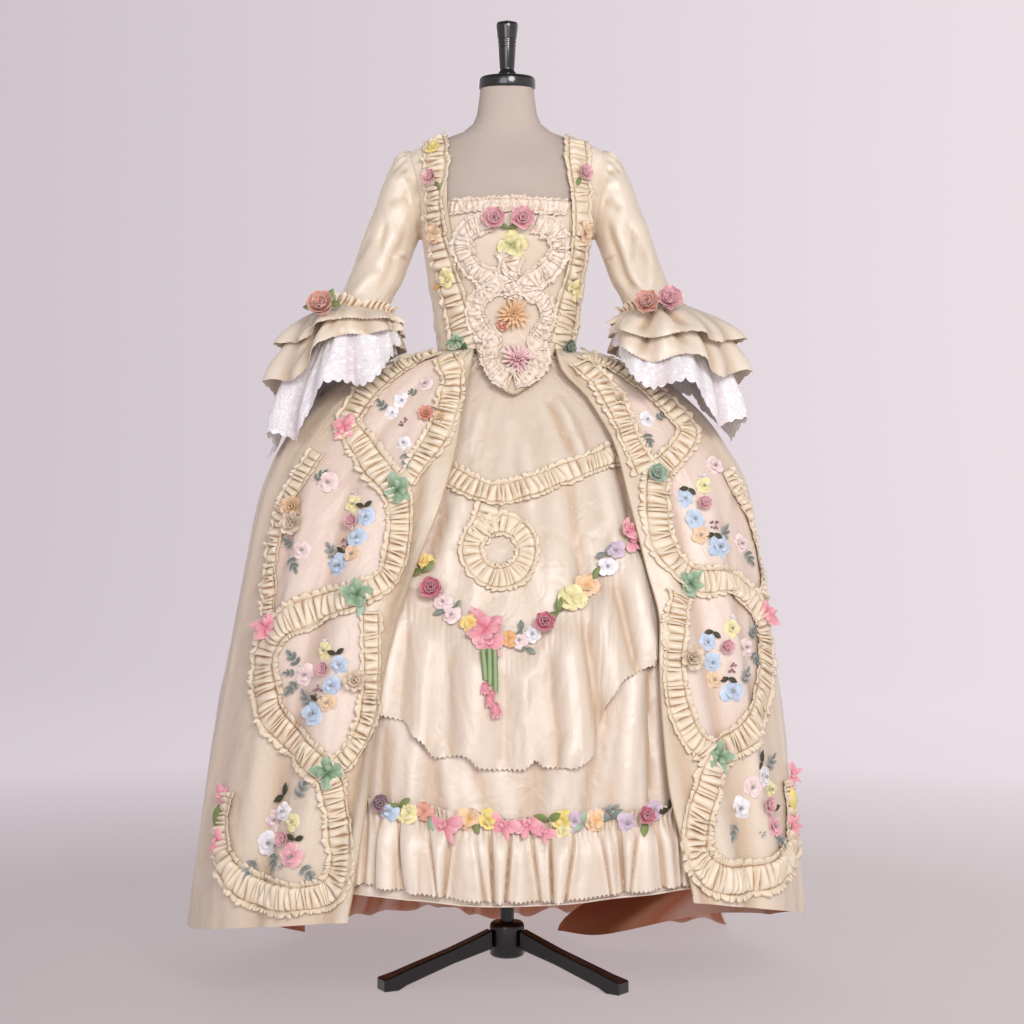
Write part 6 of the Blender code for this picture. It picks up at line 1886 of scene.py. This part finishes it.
def roomFinish():
    # painted light: the paper glows by itself, and its colour and glow are painted darker to the left and
    # lighter to the right, standing in for the fall of the studio's light; near the gown the floor glows less
    # and takes more of the lamps' light, far off the paper is nearly all glow
    finish = Finish("studioPaper", Roughness=0.9, Specular_IOR_Level=0.15, Emission_Strength=1.0)
    across = finish.node("ShaderNodeSeparateXYZ", None, {"Vector": finish.room()}, 0)
    away = finish.node("ShaderNodeVectorMath", {"operation": "LENGTH"}, {0: finish.room()}, 1)
    paintedLightOnFloor = finish.ramp(across * 0.2 + 0.5, (0.15, 0.0), (0.75, 1.0))
    wide = finish.ramp(across * 0.1 + 0.5, (0.15, 0.0), (0.75, 1.0))
    far = finish.ramp(away * 0.1, (0.12, 0.0), (0.34, 1.0))
    paper = finish.blend(far, finish.blend(paintedLightOnFloor, rgb(113, 106, 108), rgb(126, 120, 120)), rgb(58, 56, 57))
    middle = finish.blend(paintedLightOnFloor, rgb(158, 148, 151), rgb(184, 174, 175))
    glow = finish.blend(far, middle, finish.blend(wide, rgb(198, 187, 195), rgb(230, 220, 225)))
    return finish.wear(Base_Color=paper, Emission_Color=glow)


def room():
    s = roomSizes
    turns = [math.pi / 2 * i / s["steps"] for i in range(s["steps"] + 1)]
    profile = [(s["radius"] - s["sweep"] * (1 - math.sin(a)), s["sweep"] * (1 - math.cos(a))) for a in turns]
    profile.append((s["radius"], s["height"]))
    n = s["sides"]
    spokes = [(math.cos(2 * math.pi * i / n), math.sin(2 * math.pi * i / n)) for i in range(n)]
    points = [(0, 0, 0)] + [(r * x, r * y, z) for r, z in profile for x, y in spokes]
    faces = [(0, 1 + i, 1 + (i + 1) % n) for i in range(n)]
    for k in range(len(profile) - 1):
        inner, outer = 1 + k * n, 1 + (k + 1) * n
        faces += [(inner + i, outer + i, outer + (i + 1) % n, inner + (i + 1) % n) for i in range(n)]
    mesh = bpy.data.meshes.new("studioFloor")
    mesh.from_pydata(points, [], faces)
    mesh.materials.append(roomFinish())
    mesh.shade_smooth()
    addObject("studioFloor", mesh)


def lightTheRoom():
    for name, (place, aim, size, power, colour) in lamps.items():
        lamp = bpy.data.lights.new(name, "AREA")
        lamp.shape, lamp.size, lamp.energy, lamp.color = "DISK", size, power, colour
        holder = addObject(name, lamp)
        holder.location = place
        holder.rotation_euler = (Vector(aim) - Vector(place)).to_track_quat("-Z", "Y").to_euler()
        holder.visible_camera = False
    world = bpy.data.worlds.new("softSky")
    world.use_nodes = True
    sky = world.node_tree.nodes["Background"]
    sky.inputs["Color"].default_value, sky.inputs["Strength"].default_value = (0.86, 0.85, 0.9, 1), 0.26
    bpy.context.scene.world = world


def setCamera():
    camera = bpy.data.cameras.new("camera")
    camera.lens, camera.sensor_width = cameraPlace["lens"], 36
    holder = addObject("camera", camera)
    holder.location = cameraPlace["at"]
    holder.rotation_euler = (math.pi / 2, 0, 0)
    bpy.context.scene.camera = holder


room()
lightTheRoom()
setCamera()
bpy.context.scene.view_settings.view_transform = "Standard"
say("room, light and camera")
